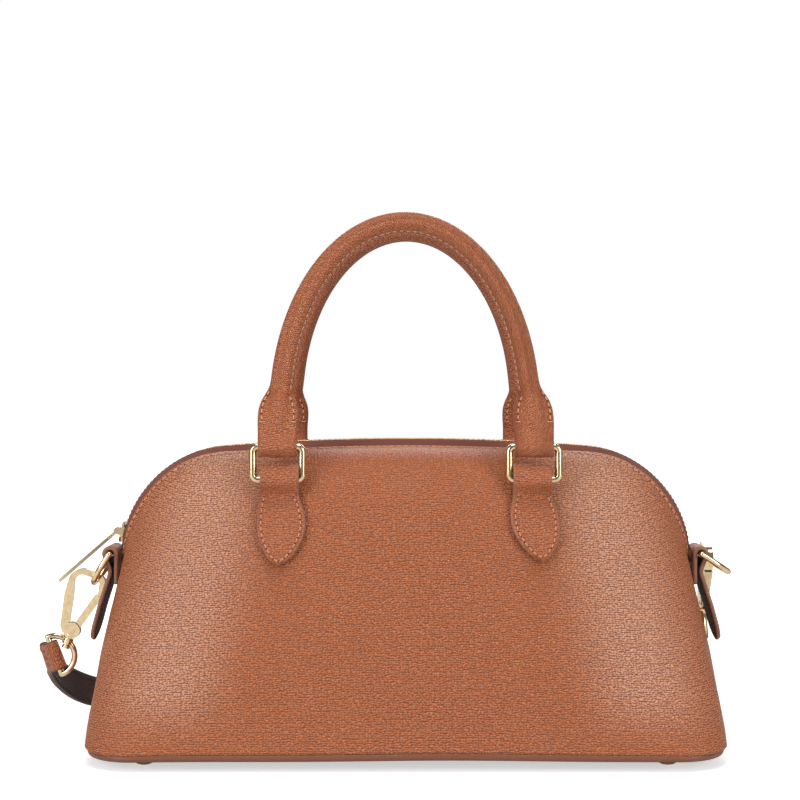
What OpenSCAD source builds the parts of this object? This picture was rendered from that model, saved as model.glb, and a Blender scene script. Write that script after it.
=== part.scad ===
// Half moon handbag of grained leather with a domed zip top, two rolled handles on
// gold rings, side tabs with dee rings and a clip-on shoulder strap.
// Millimetres, +Z up, front at -Y, origin on the floor under the middle of the base.

/* [Body] */
// width of the base at the side seams
base_w = 313; // [250:1:400]
// depth of the base, front to back
base_d = 124; // [90:1:160]
// plan radius of the base corners
corner_r = 26; // [15:1:40]
// height of the top of the rolled base rim
rim_top_z = 9; // [6:0.1:14]
// thickness of the base panel and its rolled rim
rim_t = 4.2; // [3:0.1:6]
// leather thickness of the front and back panels
panel_t = 1.8; // [1.2:0.1:3]
// half width at the upper end of each side seam, as a share of the base width
side_top_share = 0.46741; // [0.4:0.001:0.6]
// extra width that the side seam holds low down
side_belly = 28; // [0:1:60]
// thickness of the lining cloth
lining_t = 0.7; // [0.4:0.1:1.5]
// thickness of the stiff board in the base
board_t = 2; // [1:0.1:4]
// diameter of a base foot
foot_d = 11; // [6:0.5:16]
// distance of the feet from the middle, along the width
foot_x = 128; // [80:1:150]
// distance of the feet from the middle, along the depth
foot_y = 43; // [20:1:55]

/* [Dome] */
// height of the zip teeth at the middle of the dome
crest_z = 158.5; // [120:0.5:200]
// radius of the long, nearly flat top arc, as a share of the base width
top_arc_share = 3.7732; // [2:0.01:8]
// radius of the dome's corner arcs
side_arc_r = 59.5; // [40:0.5:90]
// height of the middle of each corner arc
side_arc_z = 95.5; // [60:0.5:130]
// half the angle that the top arc spans
top_arc_half_angle = 4.5; // [2:0.1:8]
// angle above the horizontal where the panel edge meets the side seam
edge_end_angle = 1; // [0:0.5:10]
// half width of the zip band between the panel edges
band_half = 10.5; // [7:0.1:16]
// how far the panel edge lies below the teeth
edge_drop = 4.2; // [2:0.1:8]
// half gap between the panels at the end of the band
seam_half_gap = 1.6; // [0.5:0.1:3]

/* [Zip] */
// distance from tooth to tooth in one row
tooth_pitch = 2.6; // [1.8:0.1:4]
// length of a tooth along the row
tooth_len = 1.05; // [0.6:0.05:2]
// reach of a tooth from the middle line to its root
tooth_reach = 2.6; // [1.5:0.1:4]
// how far a tooth head passes the middle line
tooth_cross = 0.8; // [0.3:0.1:1.5]
// height of a tooth
tooth_h = 2.3; // [1.5:0.1:4]
// thickness of the zip tape
tape_t = 0.8; // [0.4:0.1:1.5]
// angle above the horizontal where the teeth end
zip_end_angle = 8.6; // [5:0.1:20]
// angle above the horizontal where the slider waits when the bag is closed
slider_angle = 13.6; // [8:0.1:60]
// length of the slider
slider_len = 10.6; // [8:0.1:16]
// width of the slider
slider_w = 8.4; // [6:0.1:12]
// length of the flat puller
puller_len = 40; // [20:0.5:60]
// width of the flat puller
puller_w = 7; // [4:0.5:12]
// thickness of the flat puller
puller_t = 1.6; // [1:0.1:3]

/* [Handles] */
// distance of the handle legs from the middle
handle_half_span = 63; // [45:1:90]
// height of the top of the handles above the floor
handle_top_z = 273; // [200:1:340]
// height at which the legs start to curve
handle_leg_z = 175; // [165:1:200]
// diameter of a rolled handle
handle_d = 10.6; // [8:0.1:16]
// inward lean of the standing handles
handle_lean = 11; // [0:1:20]
// width of the flat flared ends
flare_w = 20.2; // [16:0.1:26]
// height of the upper bar of the handle rings
ring_top_z = 155; // [145:0.1:165]
// height of the lower bar of the handle rings
ring_low_z = 138.8; // [130:0.1:150]
// distance of the handle rings in front of the middle plane
ring_y = 41.3; // [30:0.1:60]
// wire diameter of the handle rings
ring_wire = 3.7; // [2.5:0.1:5]
// outer width of the handle rings
ring_w = 27.9; // [24:0.1:36]

/* [Handle tabs] */
// neck width of the leaf shaped tabs
neck_w = 19.2; // [14:0.1:26]
// widest part of the leaf
leaf_w = 24.5; // [18:0.1:32]
// height of the leaf tip
leaf_tip_z = 96; // [70:1:120]
// height where the leaf meets its loop
leaf_top_z = 130; // [110:1:135]
// leather thickness of the leaf
leaf_t = 2.8; // [1.5:0.1:4]

/* [Side tabs] */
// width of the side tabs
side_tab_w = 20; // [14:0.5:30]
// leather thickness of the side tabs
side_tab_t = 2.6; // [1.5:0.1:4]
// distance of the dee ring pivots outside the side seam
dee_out = 5.1; // [4.6:0.1:10]
// height of the dee ring pivots
dee_z = 99.2; // [60:0.1:130]
// distance of the sewn leg's lower end below the pivot
tab_leg_drop = 15; // [12:0.5:30]
// distance of the tab's cross seam below the pivot
tab_stitch_drop = 9; // [7:0.5:14]
// distance of the free tail's end below the pivot
tab_tail_drop = 44.5; // [20:0.5:60]
// wire diameter of the dee rings
dee_wire = 3.1; // [2:0.1:5]
// radius of the dee ring's bow, to the middle of the wire
dee_r = 12.2; // [8:0.1:18]
// height of the dee ring from its bar to the far end of the bow
dee_h = 18.5; // [12:0.1:26]
// angle below the horizontal of the left dee ring
dee_left_angle = 58; // [0:1:90]
// angle below the horizontal of the right dee ring
dee_right_angle = 33; // [0:1:90]

/* [Clasps] */
// thickness of a clasp hook
hook_t = 4.2; // [3:0.1:6]
// length of a clasp from the end of its swivel post to the top of its bow
clasp_len = 43; // [30:0.5:60]
// sideways tilt of the left clasp
clasp_left_tilt = 17.7; // [0:0.1:40]
// backward tilt of the right clasp
clasp_right_tilt = 15; // [0:0.1:40]
// wire diameter of the strap rings
strap_ring_wire = 3; // [2:0.1:4]
// radius of the bow of the strap rings
strap_ring_r = 10.2; // [8:0.1:14]
// turn of the strap ring in the plane of the clasp
strap_ring_turn = 51; // [0:1:80]

/* [Strap] */
// width of the shoulder strap
strap_w = 16.4; // [10:0.1:30]
// thickness of the shoulder strap
strap_t = 2.6; // [1.5:0.1:4]
// height of the lower edge of the strap where it stands behind the bag
strap_low_z = 2.9; // [0.3:0.1:8]
// distance of the strap's first run behind the middle plane
strap_run_y = 76.5; // [66:0.5:100]
// half length of the straight runs behind the bag
strap_run_half = 118; // [60:1:150]
// radius of the strap's turns behind the bag
strap_turn_r = 10; // [6:0.5:20]
// wire diameter of the buckle
buckle_wire = 2.4; // [1.5:0.1:4]
// inner length of the buckle
buckle_len = 15; // [10:0.5:24]

/* [Hidden] */
cut = 1;
touch = 0.1;
slack = 0.25;
fine = 48;
smooth = 32;
tan_leather = [0.66, 0.37, 0.23];
edge_brown = [0.5, 0.33, 0.26];
lining_brown = [0.25, 0.19, 0.17];
gold = [0.86, 0.72, 0.48];
tape_brown = [0.45, 0.25, 0.2];
tooth_gold = [0.62, 0.5, 0.33];
board_grey = [0.4, 0.38, 0.36];

function mix_of(a, b, k) = a + (b - a) * k;
function unit_of(v) = v / norm(v);
function clamp_of(v) = max(0, min(1, v));

// dome line: half lengths of its arcs from the middle to the panel's end
half_base_w = base_w / 2;
half_base_d = base_d / 2;
side_top_half = side_top_share * base_w;
top_arc_r = top_arc_share * base_w;
dee_x = side_top_half + dee_out;
top_half_len = top_arc_r * top_arc_half_angle * PI / 180;
side_arc_x = (top_arc_r - side_arc_r) * sin(top_arc_half_angle);
corner_span = 90 - edge_end_angle - top_arc_half_angle;
edge_half_len = top_half_len + side_arc_r * corner_span * PI / 180;

// angle from the vertical at a distance along the dome
function dome_turn(d) = d < top_half_len
    ? top_arc_half_angle * d / top_half_len
    : top_arc_half_angle + (d - top_half_len) / side_arc_r * 180 / PI;

// point of the dome in the middle plane at a distance from the crest, sunk by "sink"
function dome_at(d, sink) = let (a = dome_turn(d)) d < top_half_len
    ? [(top_arc_r - sink) * sin(a), crest_z - top_arc_r + (top_arc_r - sink) * cos(a)]
    : [side_arc_x + (side_arc_r - sink) * sin(a), side_arc_z + (side_arc_r - sink) * cos(a)];

// half width of the zip band along the dome
band_end_power = 2.5;
band_end_share = 0.8;
function band_at(share) = let (k = max(0, (share - band_end_share) / (1 - band_end_share)))
    seam_half_gap + (band_half - seam_half_gap) * (1 - pow(k, band_end_power));
end_drop = 1.2;
function drop_at(share) = mix_of(end_drop, edge_drop,
    (band_at(share) - seam_half_gap) / (band_half - seam_half_gap));

// front half of the base outline: q runs from 0 at the middle to 1 at the side seam
flat_x = half_base_w - corner_r;
flat_y = half_base_d - corner_r;
arc_len = corner_r * PI / 2;
outline_half = flat_x + arc_len + flat_y;
function base_at(q) = let (d = q * outline_half) d < flat_x
    ? [d, half_base_d]
    : d < flat_x + arc_len
        ? [flat_x + corner_r * sin((d - flat_x) / corner_r * 180 / PI),
           flat_y + corner_r * cos((d - flat_x) / corner_r * 180 / PI)]
        : [half_base_w, outline_half - d];

// shape of the panel between the base outline and the dome edge
edge_map_share = 0.62;
lens_power = 2.4;
lens_round = 0.8;
lens_rise = 0.7;
slope_share = 0.4;
shoulder_power = 12;
side_power = 1.5;
function edge_share(q) = edge_map_share * q + (1 - edge_map_share) * pow(q, 3);
function depth_share(q, t) = mix_of(base_at(q)[1] / half_base_d,
    pow(1 - pow(min(q, 1), lens_power), lens_round), pow(t, lens_rise));
function rise_share(t) = (1 - slope_share * t) * sqrt(max(0, 1 - pow(t, shoulder_power)));
side_edge_half = dome_at(edge_half_len, end_drop)[0];
function side_swell(t) = (half_base_w - side_edge_half) * (pow(1 - t, side_power) - (1 - t))
    + side_belly * t * pow(1 - t, 3);
// point of the outer face of the front panel, right half, with y counted as a depth
function half_point(q, t) = let (
    s = edge_share(q),
    b = base_at(q),
    e = dome_at(s * edge_half_len, drop_at(s)),
    w = band_at(s),
    d = half_base_d * depth_share(q, t))
    [mix_of(b[0], e[0], t) + side_swell(t) * pow(q, 3),
     mix_of(seam_half_gap * pow(q, 6), w, t) + max(0, d - w * t) * rise_share(t),
     mix_of(rim_top_z + touch, e[1], t)];
function panel_point(u, t) = let (p = half_point(abs(u), t)) [sign(u) * p[0], -p[1], p[2]];
probe = 0.004;
function panel_normal(u, t) = let (
    u0 = max(-1, u - probe), u1 = min(1, u + probe),
    t0 = max(0, t - probe), t1 = min(1 - probe / 8, t + probe))
    unit_of(cross(panel_point(u1, (t0 + t1) / 2) - panel_point(u0, (t0 + t1) / 2),
        panel_point(u, t1) - panel_point(u, t0)));
// along the base the thickness runs level, so that the panel stands clear of the rim
function sink_way(u, t) = let (n = panel_normal(u, t)) t > 0 ? n : unit_of([n[0], n[1], 0]);
function sunk_point(u, t, sink) = panel_point(u, t) - sink * sink_way(u, t);

// closed sheet between two faces given as grids of rows
module sheet(outer, inner) {
    rows = len(outer);
    cols = len(outer[0]);
    count = rows * cols;
    points = concat([for (r = outer) each r], [for (r = inner) each r]);
    function at(r, c) = r * cols + c;
    skin = [for (r = [0:rows - 2]) for (c = [0:cols - 2]) each [
        [at(r, c), at(r + 1, c), at(r + 1, c + 1)],
        [at(r, c), at(r + 1, c + 1), at(r, c + 1)]]];
    back = [for (f = skin) [f[0] + count, f[2] + count, f[1] + count]];
    ring = concat(
        [for (c = [0:cols - 1]) at(0, c)],
        [for (r = [1:rows - 1]) at(r, cols - 1)],
        [for (c = [cols - 2:-1:0]) at(rows - 1, c)],
        [for (r = [rows - 2:-1:1]) at(r, 0)]);
    n = len(ring);
    rim = [for (i = [0:n - 1]) let (a = ring[i], b = ring[(i + 1) % n]) each [
        [a, b, b + count],
        [a, b + count, a + count]]];
    polyhedron(points = points, faces = concat(skin, back, rim), convexity = 8);
}

// rows crowd towards the shoulder, columns towards the corners
function row_share(i, n) = 1 - pow(1 - i / n, 2);
function col_share(i, n) = let (k = 2 * i / n - 1) sign(k) * (1 - pow(1 - abs(k), 1.25));

panel_cols = 44;
panel_rows = 15;
module panel_sheet(cols, rows, low, high, sink, thick) {
    top = [for (r = [0:rows]) [for (c = [0:cols])
        sunk_point(col_share(c, cols), mix_of(low, high, row_share(r, rows)), sink)]];
    bottom = [for (r = [0:rows]) [for (c = [0:cols])
        sunk_point(col_share(c, cols), mix_of(low, high, row_share(r, rows)), sink + thick)]];
    sheet(top, bottom);
}

module front_panel() {
    color(tan_leather)
        panel_sheet(panel_cols, panel_rows, 0, 1, 0, panel_t);
}
module back_panel() {
    color(tan_leather)
        rotate(180)
            panel_sheet(panel_cols, panel_rows, 0, 1, 0, panel_t);
}

// rounded plate whose rim is rolled all round
module rounded_plan(half_x, half_y, r) {
    for (sx = [-1, 1])
        for (sy = [-1, 1])
            translate([sx * (half_x - r), sy * (half_y - r)])
                circle(r, $fn = fine);
    square([2 * half_x, 2 * (half_y - r)], center = true);
    square([2 * (half_x - r), 2 * half_y], center = true);
}
rim_r = rim_t / 2;
rim_half_w = half_base_w;
rim_half_d = half_base_d;
module base_panel() {
    color(tan_leather)
        translate([0, 0, rim_top_z - rim_r]) {
            linear_extrude(rim_t, center = true)
                rounded_plan(rim_half_w - rim_r, rim_half_d - rim_r, corner_r - rim_r);
            for (sx = [-1, 1])
                translate([sx * (rim_half_w - rim_r), 0, 0])
                    rotate([90, 0, 0])
                        cylinder(r = rim_r, h = 2 * flat_y, center = true, $fn = smooth);
            for (sy = [-1, 1])
                translate([0, sy * (rim_half_d - rim_r), 0])
                    rotate([0, 90, 0])
                        cylinder(r = rim_r, h = 2 * flat_x, center = true, $fn = smooth);
            for (turn = [0, 180])
                rotate(turn) {
                    translate([flat_x, flat_y, 0])
                        rotate_extrude(angle = 90, $fn = fine)
                            translate([corner_r - rim_r, 0])
                                circle(rim_r, $fn = smooth);
                    translate([-flat_x, flat_y, 0])
                        rotate(90)
                            rotate_extrude(angle = 90, $fn = fine)
                                translate([corner_r - rim_r, 0])
                                    circle(rim_r, $fn = smooth);
                }
        }
}
board_gap = panel_t + 8 * slack;
module base_board() {
    color(board_grey)
        translate([0, 0, rim_top_z + touch])
            linear_extrude(board_t)
                rounded_plan(half_base_w - board_gap, half_base_d - board_gap, corner_r - board_gap);
}
foot_h = rim_top_z - rim_t - touch;
module base_feet() {
    color(gold)
        for (sx = [-1, 1])
            for (sy = [-1, 1])
                translate([sx * foot_x, sy * foot_y, 0])
                    rotate_extrude($fn = fine)
                        polygon([for (p = foot_shares) [p[0] * foot_d / 2, p[1] * foot_h]]);
}
foot_shares = [[0, 0], [0.45, 0], [0.66, 0.08], [0.82, 0.22], [0.93, 0.42], [1, 0.68], [1, 1], [0, 1]];

// lining: one cloth sheet behind each panel and one over the board
lining_sink = panel_t + tape_t + 5 * slack;
lining_cols = 26;
lining_rows = 9;
lining_low_share = 0.045;
lining_high_share = 0.975;
module lining_sheet() {
    panel_sheet(lining_cols, lining_rows, lining_low_share, lining_high_share, lining_sink, lining_t);
}
module lining_front() {
    color(lining_brown)
        lining_sheet();
}
module lining_back() {
    color(lining_brown)
        rotate(180)
            lining_sheet();
}
floor_gap = board_gap + slack;
module lining_floor() {
    color(lining_brown)
        translate([0, 0, rim_top_z + 2 * touch + board_t])
            linear_extrude(lining_t)
                rounded_plan(half_base_w - floor_gap, half_base_d - floor_gap, corner_r - floor_gap);
}

// zip tape: flat by the teeth, then sloping under the panel edge
tape_cols = 54;
tape_end_share = 0.985;
tape_tuck_share = 0.9965;
tape_sink = panel_t + 2 * slack + touch;
tooth_mid = -tooth_h / 2;
function path_point(d, y, lift) = let (p = dome_at(abs(d), -lift)) [sign(d) * p[0], y, p[1]];
function tape_q(c) = mix_of(-1, 1, c / tape_cols) * tape_end_share;
function tape_row(drop) = [for (c = [0:tape_cols]) let (
        u = tape_q(c),
        s = edge_share(abs(u)) * sign(u),
        w = band_at(abs(s)),
        d = s * edge_half_len,
        near = min(tooth_reach + slack, w - 2 * touch),
        mid = min(slider_w / 2 + 2 * slack, w - touch),
        level = tooth_mid + tape_t / 2 - drop)
    [path_point(d, -near, level),
     path_point(d, -mid, level),
     sunk_point(u, 1, tape_sink + drop) + [0, 3 * slack, 0],
     sunk_point(u, tape_tuck_share, tape_sink + drop)]];
module tape() {
    sheet(tape_row(0), tape_row(tape_t));
}
module zip_tape_front() {
    color(tape_brown)
        tape();
}
module zip_tape_back() {
    color(tape_brown)
        rotate(180)
            tape();
}

// places its children on the dome line: x along it, y across, z outward
module on_dome(d) {
    p = dome_at(abs(d), 0);
    translate([sign(d) * p[0], 0, p[1]])
        rotate([0, sign(d) * dome_turn(abs(d)), 0])
            children();
}
chain_half_len = top_half_len
    + side_arc_r * (90 - top_arc_half_angle - zip_end_angle) * PI / 180;
tooth_count = floor(chain_half_len / tooth_pitch);
// a tooth in section: root on the tape, a stepped neck and a head past the middle
tooth_shares = [[-1, 0.18], [-0.8, 0], [0.72, 0], [1, 0.25], [1, 0.78], [0.72, 1], [-0.8, 1], [-1, 0.82]];
module tooth() {
    span = tooth_reach + tooth_cross;
    rotate([90, 0, 90])
        linear_extrude(tooth_len, center = true)
            polygon([for (p = tooth_shares) [
                (tooth_cross - tooth_reach) / 2 + p[0] * span / 2,
                (p[1] - 1) * tooth_h]]);
}
slider_half_reach = top_half_len
    + side_arc_r * (90 - top_arc_half_angle - slider_angle) * PI / 180;
module teeth(shift) {
    for (i = [-tooth_count:tooth_count - 1])
        let (d = (i + shift) * tooth_pitch)
            if (d > -slider_half_reach + slack && d < chain_half_len)
                on_dome(d)
                    tooth();
}
module zip_teeth_front() {
    color(tooth_gold)
        teeth(0.25);
}
module zip_teeth_back() {
    color(tooth_gold)
        mirror([0, 1, 0])
            teeth(0.75);
}
stop_len = 2.4 * tooth_len;
module zip_stops() {
    color(tooth_gold) {
        on_dome(chain_half_len + stop_len)
            translate([0, 0, tooth_mid])
                cube([stop_len, 2 * tooth_reach - 4 * touch, tooth_h], center = true);
        for (side = [-1, 1])
            on_dome(-(chain_half_len + stop_len))
                translate([0, side * tooth_reach / 2, tooth_mid])
                    cube([stop_len, tooth_reach - 2 * slack, tooth_h], center = true);
    }
}

// slider: two plates joined by the splitting post, side lips and two ears with a pin
plate_t = 1.1;
channel_h = tooth_h + 2 * slack;
lip_t = 0.9;
lip_drop = 0.55;
ear_t = 1;
ear_r = 1.7;
pin_r = 0.8;
pin_lift = 2.2;
ear_half_gap = 1.5;
post_w = 2.2;
post_l = 2.6;
module slider_plate() {
    r = slider_w / 2;
    hull_len = slider_len - slider_w;
    intersection() {
        union() {
            translate([-hull_len / 2, 0])
                circle(r, $fn = fine);
            translate([-hull_len / 2, -r])
                square([hull_len + r, slider_w]);
        }
        square([slider_len, slider_w], center = true);
    }
}
module zip_slider() {
    color(gold)
        on_dome(-slider_half_reach) {
            translate([0, 0, slack])
                linear_extrude(plate_t)
                    slider_plate();
            translate([0, 0, slack - channel_h - plate_t])
                linear_extrude(plate_t)
                    slider_plate();
            for (side = [-1, 1])
                translate([0, side * (slider_w - lip_t) / 2, 0]) {
                    translate([0, 0, slack - lip_drop / 2])
                        cube([slider_len - slider_w / 2, lip_t, lip_drop + touch], center = true);
                    translate([0, 0, slack - channel_h + lip_drop / 2])
                        cube([slider_len - slider_w / 2, lip_t, lip_drop + touch], center = true);
                }
            translate([-(slider_len - post_l) / 2 + slack, 0, slack - channel_h / 2])
                cube([post_l, post_w, channel_h + touch], center = true);
            for (side = [-1, 1])
                translate([0, side * (ear_half_gap + ear_t / 2), slack + plate_t])
                    rotate([90, 0, 0]) {
                        translate([0, pin_lift, 0])
                            cylinder(r = ear_r, h = ear_t, center = true, $fn = smooth);
                        translate([-ear_r, -touch, -ear_t / 2])
                            cube([2 * ear_r, pin_lift + touch, ear_t]);
                    }
            translate([0, 0, slack + plate_t + pin_lift])
                rotate([90, 0, 0])
                    cylinder(r = pin_r, h = 2 * ear_half_gap + ear_t, center = true, $fn = smooth);
        }
}
slider_pin_r = side_arc_r + slack + plate_t + pin_lift;
slider_pin = [-side_arc_x - slider_pin_r * cos(slider_angle), side_arc_z + slider_pin_r * sin(slider_angle)];
eye_r = 1.75;
eye_half_w = ear_half_gap - 1.2 * touch;
puller_end_r = puller_w / 2;
// puller: a narrow eye on the slider's pin, widening into a flat tongue
module zip_puller() {
    color(gold)
        translate([slider_pin[0], 0, slider_pin[1]])
            rotate([0, -puller_angle, 0])
                difference() {
                    union() {
                        rotate([90, 0, 0])
                            cylinder(r = eye_r, h = 2 * eye_half_w, center = true, $fn = smooth);
                        translate([-2 * eye_r - slack, -eye_half_w, -puller_t / 2])
                            cube([2 * eye_r + slack, 2 * eye_half_w, puller_t]);
                        translate([0, 0, -puller_t / 2])
                            linear_extrude(puller_t) {
                                translate([-puller_len + puller_end_r, 0])
                                    circle(puller_end_r, $fn = fine);
                                polygon([for (p = puller_shares)
                                    [p[0] * (puller_len - puller_end_r), p[1] * puller_w / 2]]);
                            }
                    }
                    rotate([90, 0, 0])
                        cylinder(r = pin_r + touch, h = puller_w, center = true, $fn = smooth);
                }
}
puller_shares = [[-1, -1], [-0.16, -0.72], [-0.1, -0.38], [-0.1, 0.38], [-0.16, 0.72], [-1, 1]];

// handle rings: rounded rectangles of round wire, upper bar in the handle, lower bar in the tab
ring_r = ring_wire / 2;
ring_bend = 2.6;
ring_mid_w = ring_w - ring_wire;
ring_mid_h = ring_top_z - ring_low_z;
module wire_bend(bend, r, angle) {
    rotate_extrude(angle = angle, $fn = fine)
        translate([bend, 0])
            circle(r, $fn = smooth);
}
module handle_ring(x, y) {
    color(gold)
        translate([x, y, (ring_top_z + ring_low_z) / 2])
            rotate([90, 0, 0]) {
                for (side = [-1, 1]) {
                    translate([0, side * ring_mid_h / 2, 0])
                        rotate([0, 90, 0])
                            cylinder(r = ring_r, h = ring_mid_w - 2 * ring_bend, center = true, $fn = smooth);
                    translate([side * ring_mid_w / 2, 0, 0])
                        rotate([90, 0, 0])
                            cylinder(r = ring_r, h = ring_mid_h - 2 * ring_bend, center = true, $fn = smooth);
                }
                for (k = [0:3])
                    translate([
                        (k == 0 || k == 3 ? 1 : -1) * (ring_mid_w / 2 - ring_bend),
                        (k < 2 ? 1 : -1) * (ring_mid_h / 2 - ring_bend), 0])
                        rotate(90 * k)
                            wire_bend(ring_bend, ring_r, 90);
            }
}
module ring_front_left() {
    handle_ring(-handle_half_span, -ring_y);
}
module ring_front_right() {
    handle_ring(handle_half_span, -ring_y);
}
module ring_back_left() {
    handle_ring(-handle_half_span, ring_y);
}
module ring_back_right() {
    handle_ring(handle_half_span, ring_y);
}

// y of the front panel's outer face at a given x and z, found by repeated correction
edge_near_z = dome_at(handle_half_span, edge_drop)[1];
search_steps = 9;
function search_q(x, t, q, n) = n == 0 ? q
    : search_q(x, t, clamp_of(q + (x - half_point(q, t)[0]) / (outline_half * mix_of(1, 0.75, t))), n - 1);
function panel_y(x, z) = let (
    t = clamp_of((z - rim_top_z) / (edge_near_z - rim_top_z)),
    q = search_q(abs(x), t, abs(x) / outline_half, search_steps))
    -half_point(q, t)[1];

// leaf: half width shares from its neck down to the tip
leaf_shares = [[0, 0.784], [0.09, 0.8], [0.2, 0.9], [0.33, 0.985], [0.45, 1], [0.57, 0.955],
    [0.68, 0.86], [0.78, 0.7], [0.87, 0.5], [0.94, 0.29], [0.985, 0.1]];
leaf_cols = 6;
leaf_gap = 0.45;
module leaf(x, lean) {
    function row(p, lift) = let (
        z = leaf_top_z - p[0] * (leaf_top_z - leaf_tip_z),
        mid = x + sign(x) * (leaf_top_z - z) * tan(lean))
        [for (c = [0:leaf_cols]) let (px = mid + (1 - 2 * c / leaf_cols) * p[1] * leaf_w / 2)
            [px, panel_y(px, z) - leaf_gap - lift, z]];
    sheet([for (p = leaf_shares) row(p, leaf_t)], [for (p = leaf_shares) row(p, 0)]);
}
tab_loop_r = 5.2;
bar_hole_r = ring_r + slack;
module bar_loop(length) {
    rotate([0, 90, 0])
        difference() {
            cylinder(r = tab_loop_r, h = length, center = true, $fn = fine);
            cylinder(r = bar_hole_r, h = length + 2 * cut, center = true, $fn = fine);
        }
}
leaf_join_y = min(panel_y(handle_half_span - neck_w / 2, leaf_top_z),
    panel_y(handle_half_span + neck_w / 2, leaf_top_z)) - leaf_gap;
module handle_tab(x, lean) {
    leaf(x, lean);
    translate([x, 0, 0])
        difference() {
            union() {
                translate([0, -ring_y, ring_low_z])
                    rotate([0, 90, 0])
                        cylinder(r = tab_loop_r, h = neck_w, center = true, $fn = fine);
                translate([-neck_w / 2, 0, 0])
                    rotate([90, 0, 90])
                        linear_extrude(neck_w)
                            polygon([
                                [-ring_y - tab_loop_r * cos(loop_tuck), ring_low_z - tab_loop_r * sin(loop_tuck)],
                                [leaf_join_y - leaf_t, leaf_top_z + touch / 2],
                                [leaf_join_y, leaf_top_z + touch / 2],
                                [-ring_y + tab_loop_r * cos(loop_tuck), ring_low_z - tab_loop_r * sin(loop_tuck)]]);
            }
            translate([0, -ring_y, ring_low_z])
                rotate([0, 90, 0])
                    cylinder(r = bar_hole_r, h = neck_w + 2 * cut, center = true, $fn = fine);
        }
}
loop_tuck = 25;
left_leaf_lean = 1;
right_leaf_lean = 6;
module tab_front_left() {
    color(tan_leather)
        handle_tab(-handle_half_span, left_leaf_lean);
}
module tab_front_right() {
    color(tan_leather)
        handle_tab(handle_half_span, right_leaf_lean);
}
module tab_back_left() {
    color(tan_leather)
        rotate(180)
            handle_tab(handle_half_span, left_leaf_lean);
}
module tab_back_right() {
    color(tan_leather)
        rotate(180)
            handle_tab(-handle_half_span, left_leaf_lean);
}

// a handle in its own plane: x across, z up from the upper bars of its rings
plane_leg = (handle_leg_z - ring_top_z) / cos(handle_lean);
plane_top = (handle_top_z - handle_d / 2 - ring_top_z) / cos(handle_lean);
arch_rise = plane_top - plane_leg;
// the flared ends reach this far up the bend
flare_over = 7.6;
leg_start = plane_leg + flare_over;
arch_steps = 34;
arch_low = asin(flare_over / arch_rise);
arch_end_x = handle_half_span * cos(arch_low);
// station of the arch: its point, its outward way in the handle's plane, as a half ellipse on two legs
function arch_at(i) = let (a = 180 - arch_low - (180 - 2 * arch_low) * i / arch_steps)
    [[handle_half_span * cos(a), 0, plane_leg + arch_rise * sin(a)],
     unit_of([arch_rise * cos(a), 0, handle_half_span * sin(a)])];
arch = concat(
    [[[-arch_end_x, 0, leg_start], [-1, 0, 0]]],
    [for (i = [1:arch_steps - 1]) arch_at(i)],
    [[[arch_end_x, 0, leg_start], [1, 0, 0]]]);
inner_sides = 12;
// points of a tube round the arch, one ring for each station
function tube_points(r, sides) = [for (s = arch) for (k = [0:sides - 1])
    let (a = 360 * k / sides) s[0] + r * (cos(a) * s[1] + sin(a) * [0, 1, 0])];
function tube_skin(sides, base, out) = [for (i = [0:len(arch) - 2]) for (k = [0:sides - 1]) let (
    a = base + i * sides + k,
    b = base + i * sides + (k + 1) % sides,
    c = b + sides,
    d = a + sides) each out ? [[a, b, c], [a, c, d]] : [[a, c, b], [a, d, c]]];
module handle_rod(r) {
    last = (len(arch) - 1) * inner_sides;
    polyhedron(points = tube_points(r, inner_sides),
        faces = concat(tube_skin(inner_sides, 0, true),
            [[for (k = [inner_sides - 1:-1:0]) k], [for (k = [0:inner_sides - 1]) last + k]]),
        convexity = 8);
}
core_r = 3.4;
module stand_handle() {
    translate([0, -ring_y, ring_top_z])
        rotate([-handle_lean, 0, 0])
            children();
}
// tube with a round bore: both skins have the same number of sides
cover_sides = 12;
module hollow_arch(r_out, r_in) {
    count = len(arch) * cover_sides;
    last = (len(arch) - 1) * cover_sides;
    function cap(base, flip) = [for (k = [0:cover_sides - 1]) let (
        a = base + k,
        b = base + (k + 1) % cover_sides,
        c = b + count,
        d = a + count) each flip ? [[a, c, b], [a, d, c]] : [[a, b, c], [a, c, d]]];
    polyhedron(points = concat(tube_points(r_out, cover_sides), tube_points(r_in, cover_sides)),
        faces = concat(tube_skin(cover_sides, 0, true), tube_skin(cover_sides, count, false),
            cap(0, true), cap(last, false)),
        convexity = 8);
}
module handle_cover() {
    color(tan_leather)
        stand_handle()
            hollow_arch(handle_d / 2, core_r + touch);
}
module handle_core() {
    color(board_grey)
        stand_handle()
            handle_rod(core_r);
}
module front_handle() {
    handle_cover();
}
module back_handle() {
    rotate(180)
        handle_cover();
}
module front_handle_core() {
    handle_core();
}
module back_handle_core() {
    rotate(180)
        handle_core();
}
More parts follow.
